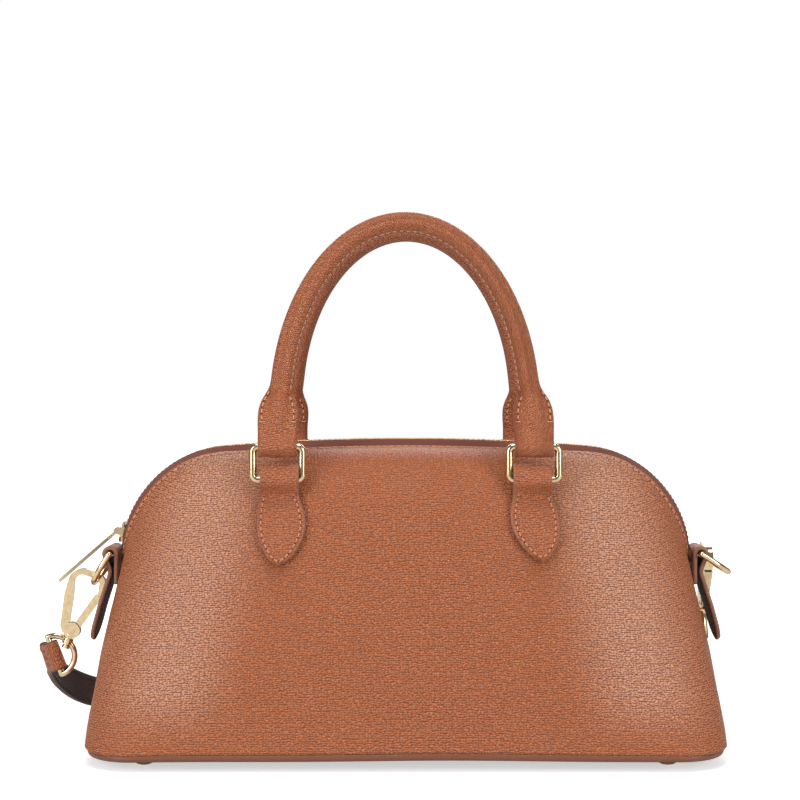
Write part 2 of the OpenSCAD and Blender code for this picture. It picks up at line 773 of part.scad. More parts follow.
// flared end: folded over the upper bar, tapering up to the rolled leg
flare_loop_r = 5.1;
flare_t = 6.2;
flare_straight = 9;
flare_top_t = 0.88 * handle_d;
flare_shares = [[-1, 0], [-1, 0.6], [-0.96, 0.71], [-0.86, 0.82], [-0.68, 0.93], [-0.56, 0.99],
    [0.56, 0.99], [0.68, 0.93], [0.86, 0.82], [0.96, 0.71], [1, 0.6], [1, 0]];
module flare_end() {
    difference() {
        union() {
            rotate([0, 90, 0])
                cylinder(r = flare_loop_r, h = flare_w, center = true, $fn = fine);
            intersection() {
                translate([0, flare_loop_r, 0])
                    rotate([90, 0, 0])
                        linear_extrude(2 * flare_loop_r)
                            polygon([for (p = flare_shares) [p[0] * flare_w / 2, p[1] * leg_start]]);
                translate([-flare_w / 2, 0, 0])
                    rotate([90, 0, 90])
                        linear_extrude(flare_w)
                            polygon([
                                [-flare_loop_r * cos(loop_tuck), flare_loop_r * sin(loop_tuck)],
                                [flare_loop_r * cos(loop_tuck), flare_loop_r * sin(loop_tuck)],
                                [flare_t / 2, flare_straight],
                                [flare_top_t / 2, leg_start],
                                [-flare_top_t / 2, leg_start],
                                [-flare_t / 2, flare_straight]]);
            }
        }
        rotate([0, 90, 0])
            cylinder(r = bar_hole_r, h = flare_w + 2 * cut, center = true, $fn = fine);
    }
}
module flare_pair() {
    color(tan_leather)
        stand_handle()
            for (side = [-1, 1])
                translate([side * handle_half_span, 0, 0])
                    flare_end();
}
module front_handle_ends() {
    flare_pair();
}
module back_handle_ends() {
    rotate(180)
        flare_pair();
}

// side tab: sewn leg, loop round the dee ring's bar, then a free tail hanging outside
dee_wire_r = dee_wire / 2;
dee_hole_r = dee_wire_r + slack;
side_loop_r = dee_hole_r + side_tab_t;
seam_x = side_top_half + 3 * slack;
leg_low_z = dee_z - tab_leg_drop;
stitch_z = dee_z - tab_stitch_drop;
tail_low_z = dee_z - tab_tail_drop;
tail_turn = 16.5;
tail_len = (stitch_z - tail_low_z) / cos(tail_turn);
module side_tab() {
    color(tan_leather)
        difference() {
            intersection() {
                rotate([90, 0, 0])
                    linear_extrude(side_tab_w, center = true) {
                        translate([dee_x, dee_z])
                            circle(side_loop_r, $fn = fine);
                        polygon([
                            [seam_x, leg_low_z],
                            [seam_x + side_tab_t, leg_low_z],
                            [seam_x + side_tab_t, stitch_z],
                            [dee_x + side_loop_r * cos(loop_tuck), dee_z - side_loop_r * sin(loop_tuck)],
                            [dee_x - side_loop_r, dee_z],
                            [dee_x - side_loop_r * cos(loop_tuck), dee_z - side_loop_r * sin(loop_tuck)],
                            [seam_x, stitch_z]]);
                        translate([seam_x + side_tab_t, stitch_z])
                            rotate(tail_turn)
                                translate([0, -tail_len])
                                    square([side_tab_t, tail_len + side_tab_t / 2]);
                    }
                union() {
                    translate([0, 0, tail_low_z + side_tab_w / 2])
                        rotate([0, 90, 0])
                            cylinder(r = side_tab_w / 2, h = 2 * dee_x, $fn = fine);
                    translate([0, -side_tab_w / 2, tail_low_z + side_tab_w / 2])
                        cube([2 * dee_x, side_tab_w, dee_z]);
                }
            }
            translate([dee_x, 0, dee_z])
                rotate([90, 0, 0])
                    cylinder(r = dee_hole_r, h = side_tab_w + 2 * cut, center = true, $fn = fine);
        }
}
module side_tab_left() {
    mirror([1, 0, 0])
        side_tab();
}
module side_tab_right() {
    side_tab();
}

// dee ring: straight bar along y at the origin, bow along +x
module dee_ring() {
    color(gold) {
        rotate([90, 0, 0])
            cylinder(r = dee_wire_r, h = 2 * dee_r, center = true, $fn = smooth);
        for (side = [-1, 1])
            translate([0, side * dee_r, 0]) {
                sphere(dee_wire_r, $fn = smooth);
                rotate([0, 90, 0])
                    cylinder(r = dee_wire_r, h = dee_h - dee_r, $fn = smooth);
            }
        translate([dee_h - dee_r, 0, 0])
            rotate(-90)
                wire_bend(dee_r, dee_wire_r, 180);
    }
}
module d_ring_left() {
    translate([-dee_x, 0, dee_z])
        rotate([0, -dee_left_angle, 0])
            rotate(180)
                dee_ring();
}
module d_ring_right() {
    translate([dee_x, 0, dee_z])
        rotate([0, dee_right_angle, 0])
            dee_ring();
}

// clasp frame: z up from the end of the swivel post, x towards the gate, y through its thickness
hang_share = 0.932;
hang_len = hang_share * clasp_len;
left_hang_out = 12.82;
left_hang_drop = 12.22;
right_hang_out = 7.2;
right_hang_lift = 0.21;
right_hang_back = 13.93;
clasp_left_end = [-dee_x - left_hang_out - hang_len * sin(clasp_left_tilt), 0,
    dee_z - left_hang_drop - hang_len * cos(clasp_left_tilt)];
clasp_right_end = [dee_x + right_hang_out, right_hang_back + hang_len * sin(clasp_right_tilt),
    dee_z + right_hang_lift - hang_len * cos(clasp_right_tilt)];
module at_left_clasp() {
    translate(clasp_left_end)
        rotate([0, clasp_left_tilt, 0])
            children();
}
module at_right_clasp() {
    translate(clasp_right_end)
        rotate([clasp_right_tilt, 0, 0])
            rotate(-90)
                children();
}
bow_a_shares = [-0.037, 0.828];
bow_a_r_share = 0.174;
bow_b_shares = [0.102, 0.865];
bow_b_r_share = 0.132;
bow_bar_share = 0.07;
bow_a = [bow_a_shares[0] * clasp_len, bow_a_shares[1] * clasp_len];
bow_b = [bow_b_shares[0] * clasp_len, bow_b_shares[1] * clasp_len];
bow_a_r = bow_a_r_share * clasp_len;
bow_b_r = bow_b_r_share * clasp_len;
bow_bar = bow_bar_share * clasp_len;
// the puller rests on the left clasp: angle below the horizontal from its pin past the bow
left_bow = [clasp_left_end[0] + bow_a[0] * cos(clasp_left_tilt) + bow_a[1] * sin(clasp_left_tilt),
    clasp_left_end[2] - bow_a[0] * sin(clasp_left_tilt) + bow_a[1] * cos(clasp_left_tilt)];
bow_run = slider_pin - left_bow;
bow_clear = bow_a_r + puller_t / 2 + 2 * slack;
puller_angle = atan2(bow_run[1], bow_run[0]) - asin(bow_clear / norm(bow_run));
hub_shares = [0.01, 0.245];
hub_r_share = 0.1;
hub = [hub_shares[0] * clasp_len, hub_shares[1] * clasp_len];
hub_r = hub_r_share * clasp_len;
nose_low_share = 0.745;
gate_pin_shares = [0.03, 0.24];
gate_pin_at = [gate_pin_shares[0] * clasp_len, gate_pin_shares[1] * clasp_len];
gate_end_shares = [0.192, 0.735];
gate_end = [gate_end_shares[0] * clasp_len, gate_end_shares[1] * clasp_len];
gate_pin_r = 0.85;
gate_w = 3.6;
tongue_t = hook_t * 0.5;
post_r = 1.5;
neck_shares = [0.168, 0.2];
collar_shares = [0.075, 0.142];
head_shares = [0.02, 0.064];
// outline of the hook, as shares of the clasp's length
hook_left_shares = [[-0.211, 0.828], [-0.205, 0.64], [-0.135, 0.26], [-0.09, 0.2],
    [-0.035, 0.174], [0.035, 0.174], [0.09, 0.2], [0.11, 0.245], [0.02, 0.34], [-0.04, 0.28], [-0.1, 0.66],
    [-0.14, 0.828]];
hook_right_shares = [[0.158, 0.865], [0.234, 0.865], [0.236, 0.8], [0.226, 0.745], [0.184, 0.745], [0.176, 0.8]];
bow_top_shares = [[-0.037, 0.828], [-0.037, 1.002], [0.102, 0.997], [0.102, 0.865]];
function at_share(list) = [for (p = list) [p[0] * clasp_len, p[1] * clasp_len]];
module hook_shape() {
    difference() {
        union() {
            translate(bow_a)
                circle(bow_a_r, $fn = fine);
            translate(bow_b)
                circle(bow_b_r, $fn = fine);
            polygon(at_share(bow_top_shares));
        }
        translate(bow_a)
            circle(bow_a_r - bow_bar, $fn = fine);
        translate(bow_b)
            circle(bow_b_r - bow_bar, $fn = fine);
        polygon(at_share(bow_gap_shares));
    }
    polygon(at_share(hook_left_shares));
    polygon(at_share(hook_right_shares));
    translate(hub)
        circle(hub_r, $fn = fine);
}
bow_gap_shares = [[-0.141, 0.828], [-0.037, 0.932], [0.102, 0.927], [0.164, 0.865], [0.178, 0.8],
    [0.184, 0.6], [-0.15, 0.6]];
module clasp_hook() {
    color(gold)
        difference() {
            union() {
                rotate([90, 0, 0])
                    linear_extrude(hook_t, center = true)
                        hook_shape();
                translate([0, 0, head_shares[0] * clasp_len])
                    cylinder(r = post_r, h = (neck_shares[1] - head_shares[0]) * clasp_len, $fn = smooth);
                translate([0, 0, head_shares[0] * clasp_len])
                    cylinder(r = 1.4 * post_r, h = (head_shares[1] - head_shares[0]) * clasp_len - slack, $fn = smooth);
                translate([0, 0, neck_shares[0] * clasp_len])
                    cylinder(r = 1.5 * post_r, h = (neck_shares[1] - neck_shares[0]) * clasp_len, $fn = smooth);
            }
            translate([gate_pin_at[0], 0, gate_pin_at[1]])
                rotate([90, 0, 0]) {
                    cylinder(r = gate_pin_r + touch, h = 2 * hook_t, center = true, $fn = smooth);
                    cylinder(r = 1.2 * hub_r, h = tongue_t + 2 * slack, center = true, $fn = fine);
                }
        }
}
gate_run = [gate_end[0] - gate_pin_at[0], gate_end[1] - gate_pin_at[1]];
gate_len = norm(gate_run);
gate_turn = atan2(gate_run[1], gate_run[0]);
gate_start_share = 0.27;
module clasp_gate() {
    color(gold)
        translate([gate_pin_at[0], 0, gate_pin_at[1]])
            rotate([0, -gate_turn, 0])
                difference() {
                    union() {
                        translate([gate_start_share * gate_len, -hook_t / 2, -gate_w / 2])
                            cube([(1 - gate_start_share) * gate_len, hook_t, gate_w]);
                        translate([0, -tongue_t / 2, -gate_w / 2])
                            cube([gate_len / 2, tongue_t, gate_w]);
                        rotate([90, 0, 0])
                            cylinder(r = gate_w / 2, h = tongue_t, center = true, $fn = smooth);
                    }
                    rotate([90, 0, 0])
                        cylinder(r = gate_pin_r + touch, h = 2 * hook_t, center = true, $fn = smooth);
                }
}
module gate_pin() {
    color(gold)
        translate([gate_pin_at[0], 0, gate_pin_at[1]])
            rotate([90, 0, 0])
                cylinder(r = gate_pin_r, h = hook_t + 2 * slack, center = true, $fn = smooth);
}
module clasp_hook_left() {
    at_left_clasp()
        clasp_hook();
}
module clasp_gate_left() {
    at_left_clasp()
        clasp_gate();
}
module gate_pin_left() {
    at_left_clasp()
        gate_pin();
}
module clasp_hook_right() {
    at_right_clasp()
        clasp_hook();
}
module clasp_gate_right() {
    at_right_clasp()
        clasp_gate();
}
module gate_pin_right() {
    at_right_clasp()
        gate_pin();
}

// strap ring: straight bar in the leather, bow joined to a collar on the swivel post
collar_mid = (collar_shares[0] + collar_shares[1]) / 2 * clasp_len;
collar_r = 2.7;
strap_ring_wire_r = strap_ring_wire / 2;
collar_turn = 27.7;
bar_dir = [cos(strap_ring_turn), -sin(strap_ring_turn)];
bow_dir = [sin(strap_ring_turn), cos(strap_ring_turn)];
bar_mid = [0, collar_mid] - strap_ring_r * (cos(collar_turn) * bow_dir - sin(collar_turn) * bar_dir);
// ring frame: origin on the bar's middle, x towards the bow, y along the bar, z through the ring
module at_strap_ring() {
    translate([bar_mid[0], 0, bar_mid[1]])
        rotate([90, 0, 0])
            rotate(90 - strap_ring_turn)
                children();
}
module strap_ring() {
    color(gold)
        difference() {
            union() {
                at_strap_ring() {
                    rotate([90, 0, 0])
                        cylinder(r = strap_ring_wire_r, h = 2 * strap_ring_r, center = true, $fn = smooth);
                    for (side = [-1, 1])
                        translate([0, side * strap_ring_r, 0])
                            sphere(strap_ring_wire_r, $fn = smooth);
                    rotate(-90)
                        wire_bend(strap_ring_r, strap_ring_wire_r, 180);
                }
                translate([0, 0, collar_shares[0] * clasp_len])
                    cylinder(r = collar_r, h = (collar_shares[1] - collar_shares[0]) * clasp_len, $fn = smooth);
            }
            translate([0, 0, -cut])
                cylinder(r = post_r + slack, h = clasp_len, $fn = smooth);
            translate([0, 0, head_shares[0] * clasp_len - cut])
                cylinder(r = 1.4 * post_r + slack,
                    h = (head_shares[1] - head_shares[0]) * clasp_len + cut, $fn = smooth);
        }
}
module strap_ring_left() {
    at_left_clasp()
        strap_ring();
}
module strap_ring_right() {
    at_right_clasp()
        strap_ring();
}
// strap end: leather folded round the bar, both layers sewn together behind it
end_hole_r = strap_ring_wire_r + slack;
end_loop_r = end_hole_r + strap_t * 0.85;
end_leg = 12;
end_w = strap_w - 5 * slack;
module strap_end(turn) {
    color(tan_leather)
        at_strap_ring()
            rotate([0, turn, 0])
                difference() {
                    union() {
                        rotate([90, 0, 0])
                            cylinder(r = end_loop_r, h = end_w, center = true, $fn = fine);
                        rotate([90, 0, 0])
                            linear_extrude(end_w, center = true)
                                polygon([
                                    [-end_loop_r * sin(loop_tuck), end_loop_r * cos(loop_tuck)],
                                    [-end_leg / 2, strap_t],
                                    [-end_leg, strap_t],
                                    [-end_leg, -strap_t],
                                    [-end_leg / 2, -strap_t],
                                    [-end_loop_r * sin(loop_tuck), -end_loop_r * cos(loop_tuck)]]);
                    }
                    rotate([90, 0, 0])
                        cylinder(r = end_hole_r, h = strap_w + 2 * cut, center = true, $fn = fine);
                }
}
left_end_turn = -60;
right_end_turn = 0;
module strap_end_left() {
    at_left_clasp()
        strap_end(left_end_turn);
}
module strap_end_right() {
    at_right_clasp()
        strap_end(right_end_turn);
}

// ribbon along a curve with four control points, its width turning from one way to the other
function curve_at(c, t) = pow(1 - t, 3) * c[0] + 3 * pow(1 - t, 2) * t * c[1]
    + 3 * (1 - t) * t * t * c[2] + pow(t, 3) * c[3];
function curve_way(c, t) = unit_of(pow(1 - t, 2) * (c[1] - c[0]) + 2 * (1 - t) * t * (c[2] - c[1])
    + t * t * (c[3] - c[2]));
function square_to(w, way) = unit_of(w - (w * way) * way);
ribbon_steps = 16;
module ribbon(c, w0, w1) {
    function row(i, side) = let (
        t = i / ribbon_steps,
        way = curve_way(c, t),
        w = square_to(mix_of(w0, w1, t), way),
        n = cross(way, w) * side * strap_t / 2,
        p = curve_at(c, t))
        [p + w * strap_w / 2 + n, p - w * strap_w / 2 + n];
    sheet([for (i = [0:ribbon_steps]) row(i, 1)], [for (i = [0:ribbon_steps]) row(i, -1)]);
}
function turn_y(p, a) = [p[0] * cos(a) + p[2] * sin(a), p[1], p[2] * cos(a) - p[0] * sin(a)];
function turn_x(p, a) = [p[0], p[1] * cos(a) - p[2] * sin(a), p[1] * sin(a) + p[2] * cos(a)];
function left_way(p) = turn_y(p, clasp_left_tilt);
function right_way(p) = turn_x([p[1], -p[0], p[2]], clasp_right_tilt);
bar_mid_local = [bar_mid[0], 0, bar_mid[1]];
bar_way_local = [bar_dir[0], 0, bar_dir[1]];
function leg_way_local(turn) = [-bow_dir[0] * cos(turn), -sin(turn), -bow_dir[1] * cos(turn)];
left_leg = left_way(leg_way_local(left_end_turn));
right_leg = right_way(leg_way_local(right_end_turn));
left_start = clasp_left_end + left_way(bar_mid_local) + left_leg * (end_leg + touch);
right_start = clasp_right_end + right_way(bar_mid_local) + right_leg * (end_leg + touch);
strap_mid_z = strap_low_z + strap_w / 2;
strap_left_out = 16.6;
strap_right_in = 15.4;
strap_left_x = dee_x + strap_left_out;
strap_right_x = dee_x - strap_right_in;
left_sweep = 24;
left_pull = 22;
right_sweep = 24;
right_pull = 34;
module strap_run_left() {
    color(tan_leather)
        ribbon([left_start,
            left_start + left_leg * left_sweep,
            [-strap_left_x - left_pull, strap_run_y, strap_mid_z],
            [-strap_left_x, strap_run_y, strap_mid_z]],
            left_way(bar_way_local), [0, 0, -1]);
}
short_y = strap_run_y + 2 * strap_turn_r + strap_t + 3 * touch;
last_run_y = short_y + 2 * strap_turn_r;
module strap_run_right() {
    color(tan_leather)
        ribbon([right_start,
            right_start + right_leg * right_sweep,
            [strap_right_x + right_pull, last_run_y, strap_mid_z],
            [strap_right_x, last_run_y, strap_mid_z]],
            right_way(bar_way_local), [0, 0, -1]);
}
module straight_run(x0, x1, y) {
    translate([x0, y - strap_t / 2, strap_low_z])
        cube([x1 - x0, strap_t, strap_w]);
}
module turn_run(x, y, start) {
    translate([x, y, strap_low_z])
        rotate(start)
            rotate_extrude(angle = 180, $fn = 2 * fine)
                translate([strap_turn_r - strap_t / 2, 0])
                    square([strap_t, strap_w]);
}
tongue_len = 52;
buckle_r = buckle_wire / 2;
buckle_loop_r = buckle_r + slack + strap_t * 0.85;
buckle_bar_y = short_y - strap_t / 2 + buckle_loop_r;
long_run_y = strap_run_y + 2 * strap_turn_r;
buckle_face_y = long_run_y - strap_t / 2 - slack - buckle_r;
buckle_tilt = atan2(buckle_bar_y - buckle_face_y, buckle_len);
buckle_reach = norm([buckle_bar_y - buckle_face_y, buckle_len]);
buckle_half_h = strap_w / 2 + buckle_r + 4 * touch;
prong_r = 0.9;
prong_slot = 3;
hole_step = 25;
prong_lift = asin((buckle_r + prong_r + touch) / buckle_reach);
prong_turn = buckle_tilt + prong_lift;
prong_x = (buckle_bar_y - long_run_y) / tan(prong_turn);
slot_len = strap_t / tan(prong_turn) + 2 * prong_r / sin(prong_turn) + 6 * slack;
module strap_long() {
    color(tan_leather)
        difference() {
            union() {
                straight_run(-strap_left_x + touch, strap_run_half, strap_run_y);
                turn_run(strap_run_half, strap_run_y + strap_turn_r, -90);
                straight_run(-tongue_len, strap_run_half, long_run_y);
            }
            for (k = [-1:2])
                translate([prong_x + k * hole_step, long_run_y, strap_mid_z])
                    cube([slot_len, 2 * strap_t, 2 * prong_r + 4 * slack], center = true);
        }
}
module strap_short() {
    color(tan_leather)
        difference() {
            union() {
                straight_run(-strap_run_half, 0, short_y);
                turn_run(-strap_run_half, short_y + strap_turn_r, 90);
                straight_run(-strap_run_half, strap_right_x - touch, last_run_y);
                translate([0, buckle_bar_y, strap_low_z])
                    cylinder(r = buckle_loop_r, h = strap_w, $fn = fine);
                translate([0, 0, strap_low_z])
                    linear_extrude(strap_w)
                        polygon([
                            [0, buckle_bar_y - buckle_loop_r],
                            [0, buckle_bar_y + buckle_loop_r],
                            [-2 * buckle_loop_r, short_y + 1.5 * strap_t],
                            [-hole_step, short_y + 1.5 * strap_t],
                            [-hole_step, short_y]]);
            }
            translate([0, buckle_bar_y, 0])
                cylinder(r = buckle_r + slack, h = 2 * strap_w, $fn = fine);
            translate([-buckle_loop_r, buckle_bar_y - 2 * buckle_loop_r, strap_mid_z - prong_slot / 2])
                cube([3 * buckle_loop_r, 4 * buckle_loop_r, prong_slot]);
        }
}
module buckle_frame() {
    color(gold)
        translate([0, buckle_bar_y, strap_mid_z])
            rotate(-buckle_tilt) {
                for (x = [0, buckle_reach])
                    translate([x, 0, 0])
                        cylinder(r = buckle_r, h = 2 * buckle_half_h, center = true, $fn = smooth);
                for (side = [-1, 1])
                    translate([0, 0, side * buckle_half_h]) {
                        rotate([0, 90, 0])
                            cylinder(r = buckle_r, h = buckle_reach, $fn = smooth);
                        sphere(buckle_r, $fn = smooth);
                        translate([buckle_reach, 0, 0])
                            sphere(buckle_r, $fn = smooth);
                    }
            }
}
module buckle_prong() {
    color(gold)
        translate([0, buckle_bar_y, strap_mid_z])
            rotate(-prong_turn)
                difference() {
                    union() {
                        cylinder(r = buckle_r + 2 * prong_r, h = 2 * prong_r, center = true, $fn = smooth);
                        rotate([0, 90, 0])
                            cylinder(r = prong_r, h = buckle_reach + prong_r, $fn = smooth);
                    }
                    cylinder(r = buckle_r + 2 * touch, h = 4 * prong_r, center = true, $fn = smooth);
                }
}
keeper_x = 36;
keeper_len = 8;
keeper_t = 1.6;
module strap_keeper() {
    color(tan_leather)
        translate([-keeper_x, (long_run_y + short_y) / 2, strap_mid_z])
            rotate([0, 90, 0])
                linear_extrude(keeper_len, center = true)
                    difference() {
                        square([strap_w + 2 * (keeper_t + slack),
                            short_y - long_run_y + strap_t + 2 * (keeper_t + slack)], center = true);
                        square([strap_w + 2 * slack, short_y - long_run_y + strap_t + 2 * slack], center = true);
                    }
}

front_panel();
back_panel();
base_panel();
base_board();
base_feet();
lining_front();
lining_back();
lining_floor();
zip_tape_front();
zip_tape_back();
zip_teeth_front();
zip_teeth_back();
zip_stops();
zip_slider();
zip_puller();
tab_front_left();
tab_front_right();
tab_back_left();
tab_back_right();
ring_front_left();
ring_front_right();
ring_back_left();
ring_back_right();
front_handle();
front_handle_core();
front_handle_ends();
back_handle();
back_handle_core();
back_handle_ends();
side_tab_left();
side_tab_right();
d_ring_left();
d_ring_right();
clasp_hook_left();
clasp_gate_left();
gate_pin_left();
strap_ring_left();
strap_end_left();
clasp_hook_right();
clasp_gate_right();
gate_pin_right();
strap_ring_right();
strap_end_right();
strap_run_left();
strap_run_right();
strap_long();
strap_short();
buckle_frame();
buckle_prong();
strap_keeper();
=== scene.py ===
"""Half moon handbag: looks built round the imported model, in metres.

Every leather and cloth piece is a parametric surface made here, and the metal
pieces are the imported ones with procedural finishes. The body's shape follows the
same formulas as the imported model.
"""

from __future__ import annotations

import logging
import math
from dataclasses import dataclass
from enum import Enum
from typing import Callable, Iterable, Sequence

import bpy
import numpy as np
from mathutils import Matrix, Vector


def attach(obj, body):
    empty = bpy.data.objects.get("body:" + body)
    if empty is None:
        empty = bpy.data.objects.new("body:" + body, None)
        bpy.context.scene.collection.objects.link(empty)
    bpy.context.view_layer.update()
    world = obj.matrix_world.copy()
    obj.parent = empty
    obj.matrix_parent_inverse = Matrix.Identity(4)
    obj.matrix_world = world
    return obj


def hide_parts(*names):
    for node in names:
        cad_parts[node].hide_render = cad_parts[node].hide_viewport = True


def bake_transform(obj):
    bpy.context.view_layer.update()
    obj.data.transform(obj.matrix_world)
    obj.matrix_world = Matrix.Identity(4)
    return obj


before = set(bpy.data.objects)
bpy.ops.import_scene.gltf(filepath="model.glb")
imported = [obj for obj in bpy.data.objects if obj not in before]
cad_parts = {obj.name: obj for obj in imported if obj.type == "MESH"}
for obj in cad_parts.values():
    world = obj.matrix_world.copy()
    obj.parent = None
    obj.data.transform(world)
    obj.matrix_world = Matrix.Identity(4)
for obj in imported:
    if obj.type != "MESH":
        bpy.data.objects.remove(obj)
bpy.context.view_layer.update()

LOG = logging.getLogger("half_moon_bag")
MM = 0.001
UV_MAP = "mm"
Array = np.ndarray


class Side(Enum):
    """Left or right of the bag, seen from the front."""

    LEFT = -1
    RIGHT = 1


class Face(Enum):
    """Front or back of the bag."""

    FRONT = 1
    BACK = -1

    @property
    def word(self) -> str:
        """Returns the face's name as it stands in the nodes' names."""
        return self.name.lower()

    def facing(self) -> Array:
        """Returns the matrix that turns a front piece to this face of the bag."""
        return np.diag([self.value, self.value, 1.0])


@dataclass(frozen=True)
class BodySize:
    """Sizes of the leather body in millimetres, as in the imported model."""

    base_w: float = 313.0
    base_d: float = 124.0
    corner_r: float = 26.0
    rim_top_z: float = 9.0
    rim_t: float = 4.2
    panel_t: float = 1.8
    side_top_half: float = 146.3
    side_belly: float = 28.0
    crest_z: float = 158.5
    top_arc_r: float = 1181.0
    side_arc_r: float = 59.5
    side_arc_z: float = 95.5
    top_arc_half_angle: float = 4.5
    edge_end_angle: float = 1.0
    band_half: float = 10.5
    edge_drop: float = 4.2
    end_drop: float = 1.2
    seam_half_gap: float = 1.6
    edge_map_share: float = 0.62
    lens_power: float = 2.4
    lens_round: float = 0.8
    lens_rise: float = 0.7
    slope_share: float = 0.4
    shoulder_power: float = 12.0
    side_power: float = 1.5
    touch: float = 0.1


@dataclass(frozen=True)
class ZipSize:
    """Sizes of the zip in millimetres."""

    tooth_reach: float = 2.6
    tooth_h: float = 2.3
    tape_t: float = 0.8
    slider_w: float = 8.4
    slack: float = 0.25


@dataclass(frozen=True)
class HandleSize:
    """Sizes of the handles, rings and leaf tabs in millimetres."""

    half_span: float = 63.0
    top_z: float = 273.0
    leg_z: float = 175.0
    tube_d: float = 10.6
    lean: float = 11.0
    flare_w: float = 20.2
    ring_top_z: float = 155.0
    ring_low_z: float = 138.8
    ring_y: float = 41.3
    neck_w: float = 19.2
    leaf_w: float = 24.5
    leaf_tip_z: float = 96.0
    leaf_top_z: float = 130.0
    leaf_t: float = 2.8
    loop_r: float = 5.1


@dataclass(frozen=True)
class SideTabSize:
    """Sizes of the side tabs in millimetres."""

    width: float = 20.0
    thick: float = 2.6
    dee_x: float = 151.4
    dee_z: float = 99.2
    wire: float = 3.1
    tail_turn: float = 16.5
    slimmer: float = 0.2


@dataclass(frozen=True)
class StrapSize:
    """Sizes of the shoulder strap in millimetres."""

    width: float = 16.4
    thick: float = 2.6
    low_z: float = 2.9
    run_y: float = 76.5
    run_half: float = 118.0
    turn_r: float = 10.0
    left_x: float = 168.0
    right_x: float = 136.0


Value = "Signal | float"


def operator(kind: str, swapped: bool = False) -> Callable[["Signal", Value], "Signal"]:
    """Returns an operator method of Signal that adds a Math node.

    Args: kind, the operation; swapped, whether the signal is the second input.
    """
    def method(self: "Signal", other: Value) -> "Signal":
        """Returns the operation's result. Args: other, the other input."""
        return self.graph.math(kind, *((other, self) if swapped else (self, other)))

    return method


class Signal:
    """A shader socket that can be added, multiplied and so on like a number."""

    def __init__(self, graph: "Graph", socket: bpy.types.NodeSocket) -> None:
        """Args: graph, the graph it belongs to; socket, the output it stands for."""
        self.graph = graph
        self.socket = socket

    __add__, __radd__ = operator("ADD"), operator("ADD", True)
    __sub__, __rsub__ = operator("SUBTRACT"), operator("SUBTRACT", True)
    __mul__, __rmul__ = operator("MULTIPLY"), operator("MULTIPLY", True)
    __truediv__, __pow__ = operator("DIVIDE"), operator("POWER")

    def band(self, low: float, high: float, to_low: float = 0.0, to_high: float = 1.0) -> "Signal":
        """Returns the signal eased from low..high to to_low..to_high, and held outside.

        Args: low and high, the input range; to_low and to_high, the output range.
        """
        node = self.graph.node("ShaderNodeMapRange", interpolation_type="SMOOTHSTEP")
        self.graph.feed(node.inputs[0], self)
        for index, number in zip((1, 2, 3, 4), (low, high, to_low, to_high)):
            node.inputs[index].default_value = number
        return Signal(self.graph, node.outputs[0])


